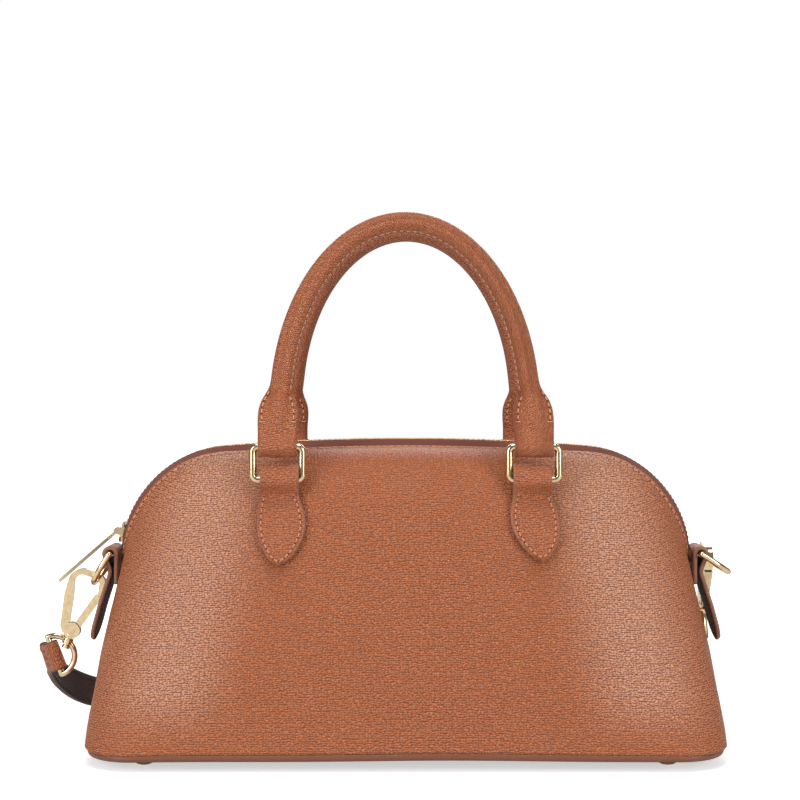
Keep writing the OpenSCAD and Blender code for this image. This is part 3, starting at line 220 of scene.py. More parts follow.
class Graph:
    """Builds one material's nodes."""

    def __init__(self, name: str) -> None:
        """Args: name, the material's name."""
        self.material = bpy.data.materials.new(name)
        self.material.use_nodes = True
        self.tree = self.material.node_tree
        self.tree.nodes.clear()
        self.shader = self.tree.nodes.new("ShaderNodeBsdfPrincipled")
        self.output = self.tree.nodes.new("ShaderNodeOutputMaterial")
        self.tree.links.new(self.shader.outputs[0], self.output.inputs[0])

    def node(self, kind: str, **settings: object) -> bpy.types.Node:
        """Returns a new node. Args: kind, its type name; settings, set before it is used."""
        made = self.tree.nodes.new(kind)
        for key, value in settings.items():
            setattr(made, key, value)
        return made

    def feed(self, socket: bpy.types.NodeSocket, value: object) -> None:
        """Links a signal to a socket, or sets a constant on it.

        Args: socket, the input; value, a Signal, a number or a tuple.
        """
        if isinstance(value, Signal):
            self.tree.links.new(value.socket, socket)
        elif isinstance(value, tuple) and len(value) == 3 and socket.type == "RGBA":
            socket.default_value = (*value, 1.0)
        else:
            socket.default_value = value

    def math(self, kind: str, *values: Value, clamp: bool = False) -> Signal:
        """Returns a Math node's result. Args: kind, the operation; values, its inputs."""
        node = self.node("ShaderNodeMath", operation=kind, use_clamp=clamp)
        for socket, value in zip(node.inputs, values):
            self.feed(socket, value)
        return Signal(self, node.outputs[0])

    def mix(self, factor: Value, a: object, b: object) -> Signal:
        """Returns a colour mix. Args: factor, 0 to 1; a and b, colours."""
        node = self.node("ShaderNodeMix", data_type="RGBA", clamp_factor=True)
        self.feed(node.inputs[0], factor)
        self.feed(node.inputs[6], a)
        self.feed(node.inputs[7], b)
        return Signal(self, node.outputs[2])

    def place(self, source: str = "Object",
              turn: tuple[float, float, float] = (0, 0, 0)) -> Signal:
        """Returns coordinates in millimetres. Args: source, Object or UV; turn, radians."""
        if source == "UV":
            socket = self.node("ShaderNodeUVMap", uv_map=UV_MAP).outputs[0]
        else:
            socket = self.node("ShaderNodeTexCoord").outputs["Object"]
        node = self.node("ShaderNodeMapping")
        self.tree.links.new(socket, node.inputs[0])
        node.inputs["Rotation"].default_value = turn
        node.inputs["Scale"].default_value = (1 / MM,) * 3
        return Signal(self, node.outputs[0])

    def noise(self, place: Signal, scale: float, detail: float = 2.0,
              rough: float = 0.5) -> Signal:
        """Returns noise from 0 to 1. Args: place, coordinates in mm; scale, cells per mm."""
        node = self.node("ShaderNodeTexNoise", noise_dimensions="3D")
        self.feed(node.inputs["Vector"], place)
        node.inputs["Scale"].default_value = scale
        node.inputs["Detail"].default_value = detail
        node.inputs["Roughness"].default_value = rough
        return Signal(self, node.outputs[0])

    def cells(self, place: Signal, jitter: float) -> Signal:
        """Returns the distance to the nearest cell's middle on a plane.

        Args: place, coordinates with one cell to a unit; jitter, how irregular.
        """
        node = self.node("ShaderNodeTexVoronoi", feature="F1", voronoi_dimensions="2D")
        self.feed(node.inputs["Vector"], place)
        node.inputs["Scale"].default_value = 1.0
        node.inputs["Randomness"].default_value = jitter
        return Signal(self, node.outputs["Distance"])

    def split(self, place: Signal) -> tuple[Signal, Signal, Signal]:
        """Returns the three parts of a vector signal."""
        node = self.node("ShaderNodeSeparateXYZ")
        self.feed(node.inputs[0], place)
        return tuple(Signal(self, out) for out in node.outputs)

    def shift(self, place: Signal, amount: Signal, way: tuple[float, float, float]) -> Signal:
        """Returns the coordinates moved along a way by a varying amount."""
        node = self.node("ShaderNodeCombineXYZ")
        for socket, part in zip(node.inputs, way):
            self.feed(socket, amount * part)
        add = self.node("ShaderNodeVectorMath", operation="ADD")
        self.feed(add.inputs[0], place)
        self.tree.links.new(node.outputs[0], add.inputs[1])
        return Signal(self, add.outputs[0])

    def wave(self, place: Signal, scale: float, way: str = "X", warp: float = 0.0) -> Signal:
        """Returns a sine band pattern from 0 to 1. Args: scale, bands per 2 pi mm."""
        node = self.node("ShaderNodeTexWave", wave_type="BANDS", bands_direction=way,
                         wave_profile="SIN")
        self.feed(node.inputs["Vector"], place)
        node.inputs["Scale"].default_value = scale
        node.inputs["Distortion"].default_value = warp
        return Signal(self, node.outputs["Fac"])

    def bump(self, height: Signal, depth_mm: float, strength: float = 1.0) -> Signal:
        """Returns a bumped normal.

        Args: height, 0 to 1; depth_mm, its full depth; strength, 0 to 1.
        """
        node = self.node("ShaderNodeBump")
        node.inputs["Strength"].default_value = strength
        node.inputs["Distance"].default_value = depth_mm * MM
        self.feed(node.inputs["Height"], height)
        return Signal(self, node.outputs[0])

    def finish(self, **sockets: object) -> bpy.types.Material:
        """Sets the shader's sockets by name, with underscores for spaces.

        Args: sockets, constants or signals. Returns: the material.
        """
        for key, value in sockets.items():
            self.feed(self.shader.inputs[key.replace("_", " ")], value)
        return self.material


# Finishes


def srgb(red: float, green: float, blue: float) -> tuple[float, float, float]:
    """Returns a linear colour for a display colour given from 0 to 255."""
    parts = (c / 255.0 for c in (red, green, blue))
    return tuple(c / 12.92 if c <= 0.04045 else ((c + 0.055) / 1.055) ** 2.4 for c in parts)


@dataclass(frozen=True)
class LeatherFinish:
    """Grained leather on a UV map in metres: small pebbles in uneven rows, dark between, with an optional
    painted highlight along the ridges.
    """

    name: str
    tone: tuple[float, float, float]
    pit: tuple[float, float, float]
    cells_per_mm: tuple[float, float] = (0.72, 0.9)
    depth_mm: float = 0.5
    shade: float = 0.96
    roughness: float = 0.3
    mottle: float = 0.12
    # Strength of a painted highlight: a pale tint along the ridges from the shoulders to the lower
    # corners.
    rubbed: float = 0.0

    def ridge(self, g: Graph) -> Signal:
        """Returns 1 along the ridges from the shoulders to the lower corners, 0 elsewhere: the mask of a
        painted highlight.

        Args: g, the material's graph.
        """
        x, _, z = g.split(g.place())
        line = 124.0 - z * 0.2
        near = g.math("ABSOLUTE", g.math("ABSOLUTE", x) - line).band(4.0, 42.0, 1.0, 0.0)
        return near * z.band(8.0, 40.0)

    def build(self) -> bpy.types.Material:
        """Returns the material."""
        g = Graph(self.name)
        flat = g.place("UV")
        placed = g.shift(flat, g.noise(flat, 0.35, 2.0) - 0.5, (2.4, 1.8, 0.0))
        node = g.node("ShaderNodeMapping")
        g.feed(node.inputs[0], placed)
        node.inputs["Scale"].default_value = (*self.cells_per_mm, 1.0)
        grid = Signal(g, node.outputs[0])
        core = g.cells(grid, 0.7)
        row = g.math("COSINE", (g.split(grid)[1] + 0.2) * (2 * math.pi)) * 0.5 + 0.5
        crest = core.band(0.02, 0.58, 1.0, 0.0)
        valley = (1.0 - crest) * (row * 0.55 + 0.45)
        fine = g.noise(flat, 2.2, 3.0, 0.6)
        broad = g.noise(flat, 0.03, 2.0)
        dark = valley * self.shade + (fine - 0.5) * 0.35
        bright = self.tone
        # Painted highlight: the ridges are tinted pale and their crests lose their dark grain.
        if self.rubbed:
            ridge = self.ridge(g) * self.rubbed
            bright = g.mix(ridge, self.tone, srgb(245, 205, 178))
            dark = dark - crest * ridge * 0.8
        tone = g.mix(dark, bright, self.pit)
        scale = g.node("ShaderNodeVectorMath", operation="SCALE")
        g.feed(scale.inputs[0], tone)
        g.feed(scale.inputs["Scale"], (broad - 0.5) * self.mottle + 1.0)
        height = crest * 0.6 - valley * 0.4 + fine * 0.15
        rough = self.roughness + valley * 0.25 + (fine - 0.5) * 0.15
        return g.finish(Base_Color=Signal(g, scale.outputs[0]), Roughness=rough,
                        Normal=g.bump(height, self.depth_mm, 1.0), Specular_IOR_Level=0.5)


@dataclass(frozen=True)
class EdgePaintFinish:
    """Painted cut edge of leather: smooth, slightly uneven, worn a little."""

    name: str
    tone: tuple[float, float, float]
    worn: tuple[float, float, float]
    roughness: float = 0.42

    def build(self) -> bpy.types.Material:
        """Returns the material."""
        g = Graph(self.name)
        place = g.place("Object")
        streak = g.noise(place, 0.8, 3.0, 0.6)
        tone = g.mix(streak.band(0.45, 0.75), self.tone, self.worn)
        return g.finish(Base_Color=tone, Roughness=self.roughness + (streak - 0.5) * 0.2,
                        Normal=g.bump(streak, 0.12, 0.5), Specular_IOR_Level=0.5)


@dataclass(frozen=True)
class ClothFinish:
    """Woven cloth in two thread directions on a UV map in metres."""

    name: str
    tone: tuple[float, float, float]
    shade: tuple[float, float, float]
    threads_per_mm: float = 1.6
    rib: float = 1.0
    roughness: float = 0.85

    def build(self) -> bpy.types.Material:
        """Returns the material."""
        g = Graph(self.name)
        flat = g.place("UV")
        u, v, _ = g.split(flat)
        turn = 2.0 * math.pi * self.threads_per_mm
        warp = g.math("SINE", u * turn)
        weft = g.math("SINE", v * (turn * self.rib))
        weave = warp * weft * 0.5 + 0.5
        fuzz = g.noise(flat, 5.0, 3.0, 0.6)
        tone = g.mix(weave * 0.6 + fuzz * 0.5 - 0.1, self.shade, self.tone)
        return g.finish(Base_Color=tone, Roughness=self.roughness,
                        Normal=g.bump(weave + fuzz * 0.4, 0.12, 0.7), Specular_IOR_Level=0.25,
                        Sheen_Weight=0.15)


@dataclass(frozen=True)
class MetalFinish:
    """Plated, polished metal with faint wear and dust in its roughness."""

    name: str
    tone: tuple[float, float, float]
    deep: tuple[float, float, float]
    roughness: float = 0.16
    wear: float = 0.12
    bump_mm: float = 0.0006

    def build(self) -> bpy.types.Material:
        """Returns the material."""
        g = Graph(self.name)
        place = g.place("Object")
        smear = g.noise(place, 0.35, 4.0, 0.65)
        grain = g.noise(place, 4.0, 2.0)
        tone = g.mix(smear.band(0.35, 0.75), self.tone, self.deep)
        rough = self.roughness + (smear - 0.4) * self.wear + (grain - 0.5) * 0.05
        return g.finish(Base_Color=tone, Metallic=1.0, Roughness=rough,
                        Normal=g.bump(grain, self.bump_mm, 0.4))


@dataclass(frozen=True)
class ThreadFinish:
    """Waxed sewing thread with a twisted lay."""

    name: str
    tone: tuple[float, float, float]
    shade: tuple[float, float, float]

    def build(self) -> bpy.types.Material:
        """Returns the material."""
        g = Graph(self.name)
        place = g.place("Object", turn=(0.3, 0.6, 0.8))
        lay = g.wave(place, 3.2, "DIAGONAL", 0.5)
        tone = g.mix(lay * 0.7, self.shade, self.tone)
        return g.finish(Base_Color=tone, Roughness=0.5 + lay * 0.15,
                        Normal=g.bump(lay, 0.05, 0.5), Specular_IOR_Level=0.5)


@dataclass(frozen=True)
class BoardFinish:
    """Pressed fibre board or cord, flecked and matt."""

    name: str
    tone: tuple[float, float, float]
    fleck: tuple[float, float, float]

    def build(self) -> bpy.types.Material:
        """Returns the material."""
        g = Graph(self.name)
        place = g.place("Object")
        flecks = g.noise(place, 1.4, 3.0, 0.7)
        tone = g.mix(flecks.band(0.5, 0.62), self.tone, self.fleck)
        return g.finish(Base_Color=tone, Roughness=0.8 + (flecks - 0.5) * 0.2,
                        Normal=g.bump(flecks, 0.1, 0.5), Specular_IOR_Level=0.3)


class Finishes:
    """All the materials of the bag, made once."""

    def __init__(self) -> None:
        tan, pit = srgb(206, 120, 72), srgb(112, 52, 26)
        # The panels' leather carries a painted highlight along its ridges.
        self.leather = LeatherFinish("grained_leather", tan, pit, rubbed=0.4).build()
        self.rim = LeatherFinish("rim_leather", srgb(132, 80, 54), srgb(100, 58, 38), depth_mm=0.06,
                                 shade=0.5).build()
        self.leather_small = LeatherFinish("grained_leather_small", srgb(202, 118, 72), pit,
                                           cells_per_mm=(0.72, 0.9), depth_mm=0.4).build()
        self.backing = LeatherFinish("strap_backing", srgb(92, 74, 68), srgb(52, 40, 38),
                                     cells_per_mm=(1.1, 1.1), depth_mm=0.08, roughness=0.6).build()
        self.edge = EdgePaintFinish("edge_paint", srgb(138, 92, 68), srgb(160, 112, 86)).build()
        self.edge_dark = EdgePaintFinish("edge_paint_dark", srgb(92, 64, 54), srgb(120, 88, 74)).build()
        self.tape = ClothFinish("zip_cloth", srgb(150, 88, 74), srgb(92, 48, 40), 1.5, 1.0).build()
        self.lining = ClothFinish("lining_cloth", srgb(118, 92, 84), srgb(78, 58, 52), 1.2).build()
        self.gold = MetalFinish("pale_gold", srgb(244, 220, 178), srgb(226, 194, 146), 0.12,
                                0.08).build()
        self.teeth = MetalFinish("aged_gold", srgb(196, 154, 112), srgb(110, 76, 54), 0.34, 0.2).build()
        self.thread = ThreadFinish("pale_thread", srgb(236, 178, 138), srgb(196, 130, 92)).build()
        self.thread_tan = ThreadFinish("tan_thread", srgb(214, 140, 98), srgb(168, 98, 64)).build()
        self.thread_dark = ThreadFinish("dark_thread", srgb(96, 72, 64), srgb(60, 44, 40)).build()
        # Dark discs painted over the needle holes as the holes' shade.
        self.pit = BoardFinish("needle_hole", srgb(58, 30, 20), srgb(40, 22, 16)).build()
        self.board = BoardFinish("fibre_board", srgb(120, 112, 104), srgb(84, 78, 72)).build()


# Meshes


@dataclass
class Patch:
    """Part of a mesh: points in millimetres, quads and their corner places in millimetres."""

    points: Array
    faces: Array
    corners: Array
    finish: int = 0

    def moved(self, turn: Array, shift: Array) -> "Patch":
        """Returns the patch turned by a 3x3 matrix and then shifted."""
        return Patch(self.points @ turn.T + shift, self.faces, self.corners, self.finish)

    def on(self, face: Face) -> "Patch":
        """Returns a front patch turned to a face of the bag."""
        return self.moved(face.facing(), np.zeros(3))


def unit(ways: Array) -> Array:
    """Returns vectors scaled to length one along the last axis."""
    return ways / np.maximum(np.linalg.norm(ways, axis=-1, keepdims=True), 1e-12)


def eased(value: Array, low: float, high: float) -> Array:
    """Returns 0 below low, 1 above high and a smooth step between them."""
    share = np.clip((value - low) / (high - low), 0, 1)
    return share ** 2 * (3 - 2 * share)


def sample(at: Array, run: Array, table: Array) -> Array:
    """Returns a table's rows read between its own. Args: at, the places wanted; run, the
    places of the rows; table, n by k."""
    return np.stack([np.interp(at, run, column) for column in table.T], axis=1)


def lengths(grid: Array, axis: int) -> Array:
    """Returns the running length along one axis of a grid of points, starting at zero."""
    steps = np.linalg.norm(np.diff(grid, axis=axis), axis=-1)
    start = np.zeros_like(np.take(steps, [0], axis=axis))
    return np.cumsum(np.concatenate([start, steps], axis=axis), axis=axis)


def flat_map(grid: Array) -> Array:
    """Returns millimetre places of a grid: length along each row from its middle, and
    length up each column from its first row."""
    across = lengths(grid, 1)
    across = across - across[:, across.shape[1] // 2][:, None]
    return np.stack([across, lengths(grid, 0)], axis=-1)


def net(grid: Array, place: Array | None = None, around: bool = False, finish: int = 0,
        flip: bool = False) -> Patch:
    """Returns the quads of a grid of points.

    Args: grid, rows by columns by 3; place, rows by columns by 2 (one column more when
    around), or None for lengths; around, whether the last column joins the first; finish,
    its number; flip, whether the faces turn over.
    """
    rows, cols = grid.shape[:2]
    if place is None:
        full = np.concatenate([grid, grid[:, :1]], axis=1) if around else grid
        place = np.stack([lengths(full, 1), lengths(full, 0)], axis=-1)
    r, c = np.meshgrid(np.arange(rows - 1), np.arange(cols if around else cols - 1), indexing="ij")
    r, c = r.ravel(), c.ravel()
    order = [(r, c), (r, c + 1), (r + 1, c + 1), (r + 1, c)]
    if flip:
        order.reverse()
    faces = np.stack([a * cols + b % cols for a, b in order], axis=1)
    corners = np.stack([place[a, b] for a, b in order], axis=1)
    return Patch(grid.reshape(-1, 3), faces, corners, finish)


def fan(ring: Array, finish: int = 0, flip: bool = False) -> Patch:
    """Returns a closed end: the ring of points shrunk in three steps to its middle."""
    middle = ring.mean(axis=0)
    grid = np.stack([middle + (ring - middle) * k for k in (1.0, 0.66, 0.33, 0.02)])
    patch = net(grid, around=True, finish=finish, flip=flip)
    count, last = ring.shape[0], 3 * ring.shape[0]
    half = count // 2
    a = np.arange(half - 1)
    lid = np.stack([last + a, last + a + 1, last + count - 2 - a, last + count - 1 - a], axis=1)
    if flip:
        lid = lid[:, ::-1]
    corners = np.zeros((lid.shape[0], 4, 2))
    return Patch(patch.points, np.concatenate([patch.faces, lid]),
                 np.concatenate([patch.corners, corners]), finish)


def add_object(name: str, data: bpy.types.ID) -> bpy.types.Object:
    """Returns a new object in the scene. Args: name, its name; data, what it shows."""
    made = bpy.data.objects.new(name, data)
    bpy.context.scene.collection.objects.link(made)
    return made


def make_piece(name: str, patches: Sequence[Patch],
               finishes: Sequence[bpy.types.Material]) -> bpy.types.Object:
    """Returns a smooth mesh object made of patches, with its places in the UV map "mm".

    Args: name, the object's name; patches, its parts; finishes, the materials by number.
    """
    base = np.cumsum([0] + [p.points.shape[0] for p in patches[:-1]])
    points = np.concatenate([p.points for p in patches]) * MM
    faces = np.concatenate([p.faces + b for p, b in zip(patches, base)])
    corners = np.concatenate([p.corners.reshape(-1, 2) for p in patches]) * MM
    slots = np.concatenate([np.full(p.faces.shape[0], p.finish) for p in patches])
    mesh = bpy.data.meshes.new(name)
    mesh.vertices.add(points.shape[0])
    mesh.vertices.foreach_set("co", points.astype(np.float32).ravel())
    mesh.loops.add(faces.size)
    mesh.loops.foreach_set("vertex_index", faces.astype(np.int32).ravel())
    mesh.polygons.add(faces.shape[0])
    mesh.polygons.foreach_set("loop_start", np.arange(0, faces.size, 4, dtype=np.int32))
    mesh.polygons.foreach_set("material_index", slots.astype(np.int32))
    mesh.uv_layers.new(name=UV_MAP).data.foreach_set("uv", corners.astype(np.float32).ravel())
    mesh.update(calc_edges=True)
    mesh.shade_smooth()
    for finish in finishes:
        mesh.materials.append(finish)
    LOG.info("%s: %d quads", name, faces.shape[0])
    return add_object(name, mesh)


def fit(node: str, stuff: str, patches: Sequence[Patch], finishes: Sequence[bpy.types.Material],
        body: str = "bag") -> bpy.types.Object:
    """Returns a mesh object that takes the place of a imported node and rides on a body.

    Args: node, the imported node; stuff, what the piece is made of, for its name; patches,
    its parts; finishes, the materials by number; body, the body it moves with.
    """
    piece = make_piece(f"{node}_{stuff}", patches, finishes)
    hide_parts(node)
    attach(piece, body)
    return piece


def sweep(path: Array, side: Array, section: Array, finish: int = 0) -> list[Patch]:
    """Returns a tube swept along a path, with both ends closed.

    Each ring is path + across * side + out * (way x side), where the section's columns
    are across and out. Args: path, n by 3; side, n by 3 or 3, the section's first way;
    section, m by 2 or n by m by 2, anticlockwise seen against the path's way; finish,
    its number.
    """
    way = unit(np.gradient(path, axis=0))
    side = np.broadcast_to(side, path.shape)
    side = unit(side - way * np.sum(side * way, axis=1, keepdims=True))
    out = np.cross(way, side)
    if section.ndim == 2:
        section = np.broadcast_to(section, (path.shape[0], *section.shape))
    grid = (path[:, None] + section[..., :1] * side[:, None] + section[..., 1:] * out[:, None])
    return [net(grid, around=True, finish=finish), fan(grid[0], finish, flip=True),
            fan(grid[-1], finish)]


def round_box(width: float, height: float, radius: float, count: int = 6,
              flat: int = 5) -> Array:
    """Returns a rounded rectangle section, anticlockwise, as m by 2.

    Args: width and height, its sizes; radius, its corners; count, points in a corner;
    flat, points along each side.
    """
    radius = min(radius, 0.499 * min(width, height))
    x, y = width / 2 - radius, height / 2 - radius
    centres = np.array([[x, -y], [x, y], [-x, y], [-x, -y]])
    points = []
    for k, centre in enumerate(centres):
        turn = np.radians(np.linspace(90 * k - 90, 90 * k, count))
        corner = centre + radius * np.stack([np.cos(turn), np.sin(turn)], axis=1)
        points.append(corner)
        first = centres[(k + 1) % 4] + radius * np.array([math.cos(math.radians(90 * k)),
                                                          math.sin(math.radians(90 * k))])
        share = np.linspace(0, 1, flat + 2)[1:-1, None]
        points.append(corner[-1] + (first - corner[-1]) * share)
    return np.concatenate(points)


def resample(path: Array, step: float) -> Array:
    """Returns the path with points a step apart along its length."""
    run = lengths(path, 0)
    count = max(2, int(round(run[-1] / step)) + 1)
    at = np.linspace(0, run[-1], count)
    return sample(at, run, path)


@dataclass(frozen=True)
class Stitch:
    """A kind of stitch in millimetres: its spacing and its thread's size."""

    pitch: float
    length: float
    width: float
    height: float


ZIP_STITCH = Stitch(3.57, 2.75, 0.8, 0.7)
FLARE_STITCH = Stitch(3.0, 2.2, 0.75, 0.7)
FLARE_BAR = Stitch(2.6, 2.6, 0.65, 0.6)
ARCH_STITCH = Stitch(3.4, 2.5, 0.6, 0.6)
LEAF_STITCH = Stitch(2.9, 2.1, 0.7, 0.7)
LEAF_BAR = Stitch(3.0, 2.8, 0.7, 0.75)
SIDE_TAB_STITCH = Stitch(2.6, 2.4, 0.8, 0.8)
STRAP_END_STITCH = Stitch(3.0, 2.3, 0.6, 0.6)
STRAP_STITCH = Stitch(3.3, 2.5, 0.55, 0.55)


def stitches(path: Array, out: Array, kind: Stitch, finish: int = 0,
             hole_shade: int | None = None) -> list[Patch]:
    """Returns a row of stitches, each a bent capsule lying on the surface.

    Each stitch is a row of rings whose middle line rises as a half sine and whose radius
    shrinks at its ends; dark discs at its ends are painted shade of the needle holes. Args: path, the
    row's line;
    out, the surface's outward ways at its points; kind, the stitch; finish, the thread's number;
    hole_shade, the finish number of the painted hole discs, or None for none.
    """
    run = lengths(path, 0)
    count = max(1, int(run[-1] / kind.pitch))
    at = (np.arange(count) + 0.5) * run[-1] / count
    middle, up = sample(at, run, path), unit(sample(at, run, out))
    ahead = unit(sample(at + 0.2, run, path) - sample(at - 0.2, run, path))
    ahead = unit(ahead - up * np.sum(ahead * up, axis=1, keepdims=True))
    side = np.cross(up, ahead)
    length, width, height = kind.length, kind.width, kind.height
    share = np.array([-0.5, -0.42, -0.22, 0.0, 0.22, 0.42, 0.5])
    thick = np.array([0.3, 0.75, 1.0, 1.0, 1.0, 0.75, 0.3])
    turn = np.arange(8) * math.pi / 4
    ring_side = np.cos(turn)[None] * thick[:, None] * width / 2
    ring_up = (np.sin(turn)[None] * thick[:, None] * height / 2
               + (np.cos(share * math.pi) * height * 0.35 - height * 0.12)[:, None])
    grid = (middle[:, None, None] + ahead[:, None, None] * (share * length)[None, :, None, None]
            + side[:, None, None] * ring_side[None, ..., None]
            + up[:, None, None] * ring_up[None, ..., None])
    shape = net(grid[0], around=True)
    step = (np.arange(count) * shape.points.shape[0])[:, None, None]
    faces = (shape.faces[None] + step).reshape(-1, 4)
    corners = np.tile(shape.corners, (count, 1, 1))
    patches = [Patch(grid.reshape(-1, 3), faces, corners, finish)]
    # Painted shade of the needle holes: a dark disc at each end of every stitch.
    if hole_shade is not None:
        reach = ahead * length * 0.56
        spots = np.concatenate([middle - reach, middle[-1:] + reach[-1:]])
        ups = np.concatenate([up, up[-1:]])
        sides = np.concatenate([side, side[-1:]])
        fore = np.cross(sides, ups)
        disc = np.stack([np.cos(turn), np.sin(turn)], axis=1) * width * 0.62
        rings = np.stack([disc, disc * 0.5, disc * 0.04])
        lift = np.array([0.02, 0.05, 0.06])
        grid = (spots[:, None, None] + sides[:, None, None] * rings[None, ..., :1]
                + fore[:, None, None] * rings[None, ..., 1:]
                + ups[:, None, None] * lift[None, :, None, None])
        shape = net(grid[0], around=True)
        step = (np.arange(spots.shape[0]) * shape.points.shape[0])[:, None, None]
        faces = (shape.faces[None, :, ::-1] + step).reshape(-1, 4)
        corners = np.tile(shape.corners, (spots.shape[0], 1, 1))
        patches.append(Patch(grid.reshape(-1, 3), faces, corners, hole_shade))
    return patches


def cad(name: str) -> list[bpy.types.Object]:
    """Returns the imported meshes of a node."""
    return [o for o in bpy.data.objects if o.type == "MESH" and o.get("node", o.name) == name]


def paint(name: str, finish: bpy.types.Material) -> None:
    """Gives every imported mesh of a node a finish. Args: name, the node; finish, its material."""
    for item in cad(name):
        item.data.materials.clear()
        item.data.materials.append(finish)


def mirrored(patch: Patch) -> Patch:
    """Returns the patch mirrored in x, with its faces turned back outward."""
    flip = np.array([-1.0, 1.0, 1.0])
    return Patch(patch.points * flip, patch.faces[:, ::-1], patch.corners[:, ::-1], patch.finish)


def placed(patch: Patch, matrix: Matrix) -> Patch:
    """Returns the patch moved by a 4x4 matrix in millimetres."""
    table = np.array(matrix)
    return patch.moved(table[:3, :3], table[:3, 3])


def curve_points(corners: Sequence[tuple[float, float]], step: float, smooth: int = 4) -> Array:
    """Returns a plane path through corners, evenly spaced and rounded off.

    Each smoothing pass takes the mean of every point's neighbours and itself, with the
    ends held. Args: corners, the corner points; step, the spacing; smooth, the passes.
    """
    path = np.array(corners, float)
    path = resample(np.column_stack([path, np.zeros(len(path))]), step)[:, :2]
    for _ in range(smooth):
        path[1:-1] = 0.25 * path[:-2] + 0.5 * path[1:-1] + 0.25 * path[2:]
    return path


def grid_ways(grid: Array) -> tuple[Array, Array, Array]:
    """Returns the unit ways along the columns' order and the rows' order, and the normals."""
    across = unit(np.gradient(grid, axis=1))
    up = unit(np.gradient(grid, axis=0))
    return across, up, unit(np.cross(across, up))


def slab(outer: Array, thick: float, finishes: tuple[int, int, int] = (0, 0, 0),
         bulge: tuple[float, float, float, float] = (1.0, 1.0, 1.0, 1.0), steps: int = 6) -> Patch:
    """Returns a closed sheet with rounded edges under a grid of outer points.

    The inner face lies "thick" below the outer one along the normals, and the edge is a
    half circle between them, stretched outward by the bulge of its side. Args: outer,
    rows by columns by 3; thick, millimetres; finishes, of the outer face, edge and inner
    face; bulge, for the first row, last column, last row and first column; steps, rings
    in the edge.
    """
    rows, cols = outer.shape[:2]
    across, up, normal = grid_ways(outer)
    place = flat_map(outer)
    count = rows * cols
    index = np.arange(count).reshape(rows, cols)
    ring = np.concatenate([index[0], index[1:, -1], index[-1, -2::-1], index[-2:0:-1, 0]])
    push = np.zeros_like(outer)
    drift = np.zeros((rows, cols, 2))
    push[0] -= up[0] * bulge[0]
    push[:, -1] += across[:, -1] * bulge[1]
    push[-1] += up[-1] * bulge[2]
    push[:, 0] -= across[:, 0] * bulge[3]
    drift[0, :, 1] -= 1.0
    drift[-1, :, 1] += 1.0
    drift[:, -1, 0] += 1.0
    drift[:, 0, 0] -= 1.0
    flat_outer, flat_normal = outer.reshape(-1, 3), normal.reshape(-1, 3)
    flat_push, flat_drift = push.reshape(-1, 3)[ring], drift.reshape(-1, 2)[ring]
    middle = flat_outer[ring] - flat_normal[ring] * thick / 2
    angle = np.linspace(0, math.pi, steps)[1:-1]
    rim = (middle[None] + thick / 2 * (np.cos(angle)[:, None, None] * flat_normal[ring][None]
                                       + np.sin(angle)[:, None, None] * flat_push[None]))
    points = np.concatenate([flat_outer, flat_outer - flat_normal * thick, rim.reshape(-1, 3)])
    n = ring.size
    table = np.concatenate([ring[None], 2 * count + np.arange(rim.shape[0] * n).reshape(-1, n),
                            ring[None] + count])
    run = np.linspace(0, math.pi * thick / 2, steps)
    rim_place = place.reshape(-1, 2)[ring][None] + flat_drift[None] * run[:, None, None]
    face = net(outer, place, finish=finishes[0])
    parts = [(face.faces, face.corners, finishes[0]),
             (face.faces[:, ::-1] + count, face.corners[:, ::-1], finishes[2])]
    r, c = (a.ravel() for a in np.meshgrid(np.arange(steps - 1), np.arange(n), indexing="ij"))
    order = ((r, c), (r + 1, c), (r + 1, (c + 1) % n), (r, (c + 1) % n))
    quads = np.stack([table[at] for at in order], axis=1)
    spots = np.stack([rim_place[at] for at in order], axis=1)
    parts.append((quads, spots, finishes[1]))
    patch = Patch(points, np.concatenate([p[0] for p in parts]), np.concatenate([p[1] for p in parts]))
    patch.finish = np.concatenate([np.full(p[0].shape[0], p[2]) for p in parts])
    return patch


# Body


@dataclass(frozen=True)
class Hump:
    """A soft hump in a panel, the same on both sides of the middle, in millimetres."""

    rise: float
    x: float
    x_spread: float
    z: float
    z_spread: float

    def at(self, x: Array, z: Array) -> Array:
        """Returns the hump's height: a bell curve in x times one in z."""
        return (self.rise * np.exp(-((z - self.z) / self.z_spread) ** 2)
                * np.exp(-((np.abs(x) - self.x) / self.x_spread) ** 2))


